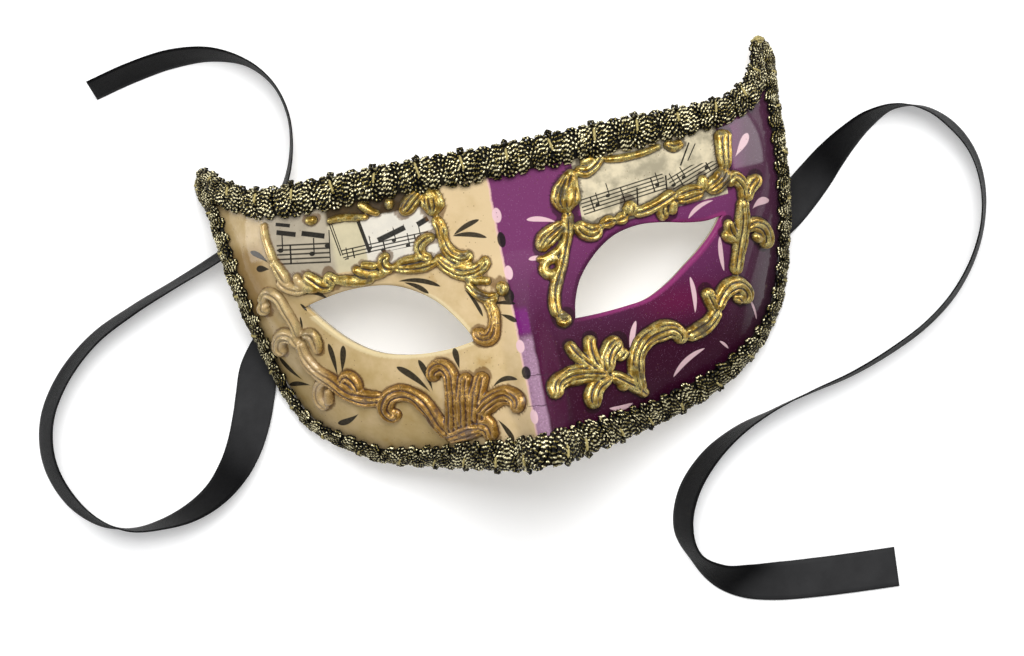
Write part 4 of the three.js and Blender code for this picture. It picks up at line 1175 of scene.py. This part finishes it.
def braid(name, runs, node, seed):
    """One length of braid: a thin web under shells of cord, with their knobs and ties."""
    rng = random.Random(seed)
    strip = EdgeStrip(runs)
    bm = bmesh.new()
    bm.faces.layers.float.new("kind")

    def web(u, v):
        across = web_edge + web_span * v
        return strip.place(u * strip.length, across, braid_dome(across) - web_depth)

    laid_grid(bm, round(strip.length / web_step), web_ribs, web, (0, 0))
    repeats = round(strip.length / braid_repeat)
    step = strip.length / repeats
    for i in range(repeats):
        start = i * step
        braid_shell(strip, bm, start, step / 2, True, rng)
        braid_shell(strip, bm, start + step / 2, step / 2, False, rng)
        middle = start + step / 4
        knob = [(middle + 0.8 * math.cos(turn), 0.04 + 0.06 * math.sin(turn), 1.6 + 0.2 * math.sin(turn))
                for turn in np.linspace(0, 2 * math.pi, 8) + rng.uniform(0, 6)]
        wound_cord(bm, strip, knob, knob_radius, knob_kind)
        lean = rng.uniform(-0.6, 0.6)
        reach = rng.uniform(0.14, 0.22)
        tie = [(middle + lean * t, 0.36 + reach * t, braid_dome(0.4) + 0.45 - 0.35 * t * t)
               for t in (-1, -0.4, 0.4, 1)]
        wound_cord(bm, strip, tie, tie_radius, tie_kind)
    piece = finish_piece(bm, name, metal_thread, 0.01)
    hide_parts(node)


def metal_cord():
    """Blackened cord wound with pale gold wire, which shows as beads whose glints are painted near-white on
    the top of each cord, and straw-gold ties.
    """
    shade = Shade("metal_cord", specular_ior_level=0.12)
    along, around, _ = shade.parts(shade.coordinate("UV"))
    kind = shade.stored("kind")
    spot = shade.millimetres()
    blotches = shade.noise(spot, 0.3, 3)
    grain = shade.noise(spot, 1.4, 2)
    turn = around * (2 * math.pi)
    slanted = (along - 0.5 + 0.55 * (around - 0.25)) * (2 * math.pi)
    # The wire's beads show only on the top of each cord: pale gold wire with a painted highlight where it
    # glints.
    bead = slanted.cosine().least(turn.sine() * 1.5 - 0.5)
    wire_and_glint = (bead + 1.2 * (blotches - 0.5) + 1.6 * (grain - 0.5)).ease(0.43, 0.74)
    wire_and_glint = wire_and_glint * (kind - 0.3 * grain).ease(0.9, 0.6)
    tie = (kind > 1.5).most((shade.parts(spot)[1] - 55.6 + 2 * (grain - 0.5)).ease(0, 0.6) * 0.9)
    wire = shade.mix((grain + 0.9 * (blotches - 0.5)).ease(0.46, 0.62), "80723a", "f8eec0")
    dark = shade.mix(blotches.ease(0.4, 0.7), "060503", "1f1a0c")
    shade.set("Base Color", shade.mix(tie, shade.mix(wire_and_glint, dark, wire), "b5a66c"))
    shade.set("Metallic", 0.5 * wire_and_glint)
    shade.set("Roughness", 0.5 - 0.25 * wire_and_glint)
    shade.set("Normal", shade.bump(bead, 0.00012, 0.6))
    return shade.material


metal_thread = metal_cord()
horn_lap = 0.012
tip_lap = 0.035
forehead = [(left_half, left_half.horn - tip_lap, 1), (right_half, 1, right_half.horn - tip_lap)]
braid("braid_forehead", forehead, "braid_top", 3)
braid("braid_lower_left", [(left_half, left_half.horn - horn_lap, 0)], "braid_lower", 5)
braid("braid_lower_right", [(right_half, 0, right_half.horn - horn_lap)], "braid_lower", 7)

# Floor and light: a pale table, a large soft key light from above, a weak fill light and a pale room, with
# two low panels beside the mask that are seen only in its varnish and gold.
floor_size = 6
bm = bmesh.new()
bmesh.ops.create_grid(bm, x_segments=1, y_segments=1, size=floor_size / 2)
floor_mesh = bpy.data.meshes.new("table")
bm.to_mesh(floor_mesh)
bm.free()
table = bpy.data.objects.new("table", floor_mesh)
bpy.context.scene.collection.objects.link(table)
table_shade = Shade("pale_table", base_color="f0f0f0", roughness=0.6)
table_shade.set("Emission Color", (1, 1, 1, 1))
table_shade.set("Emission Strength", 0.25)
floor_mesh.materials.append(table_shade.material)

sky = bpy.data.worlds.new("pale_room")
bpy.context.scene.world = sky
sky.use_nodes = True
sky.node_tree.nodes["Background"].inputs["Color"].default_value = (0.75, 0.77, 0.8, 1)
sky.node_tree.nodes["Background"].inputs["Strength"].default_value = 0.2


light_aim = Vector((0, 0, 0.03))


def soft_light(name, spot, size, power):
    data = bpy.data.lights.new(name, "AREA")
    data.shape = "RECTANGLE"
    data.size, data.size_y = size
    data.energy = power
    lamp = bpy.data.objects.new(name, data)
    lamp.location = spot
    lamp.rotation_euler = (light_aim - Vector(spot)).to_track_quat("-Z", "Y").to_euler()
    bpy.context.scene.collection.objects.link(lamp)
    return lamp


soft_light("key_light", (0.2, 0.57, 1.5), (1, 0.95), 27.5)
soft_light("fill_light", (-0.6, -0.3, 1.7), (1.6, 1.6), 8)
for side in (-1, 1):
    soft_light("gloss_panel", (side * 1.3, 0.3, 0.34), (0.9, 0.55), 8).visible_diffuse = False
bpy.context.scene.view_settings.view_transform = "Standard"
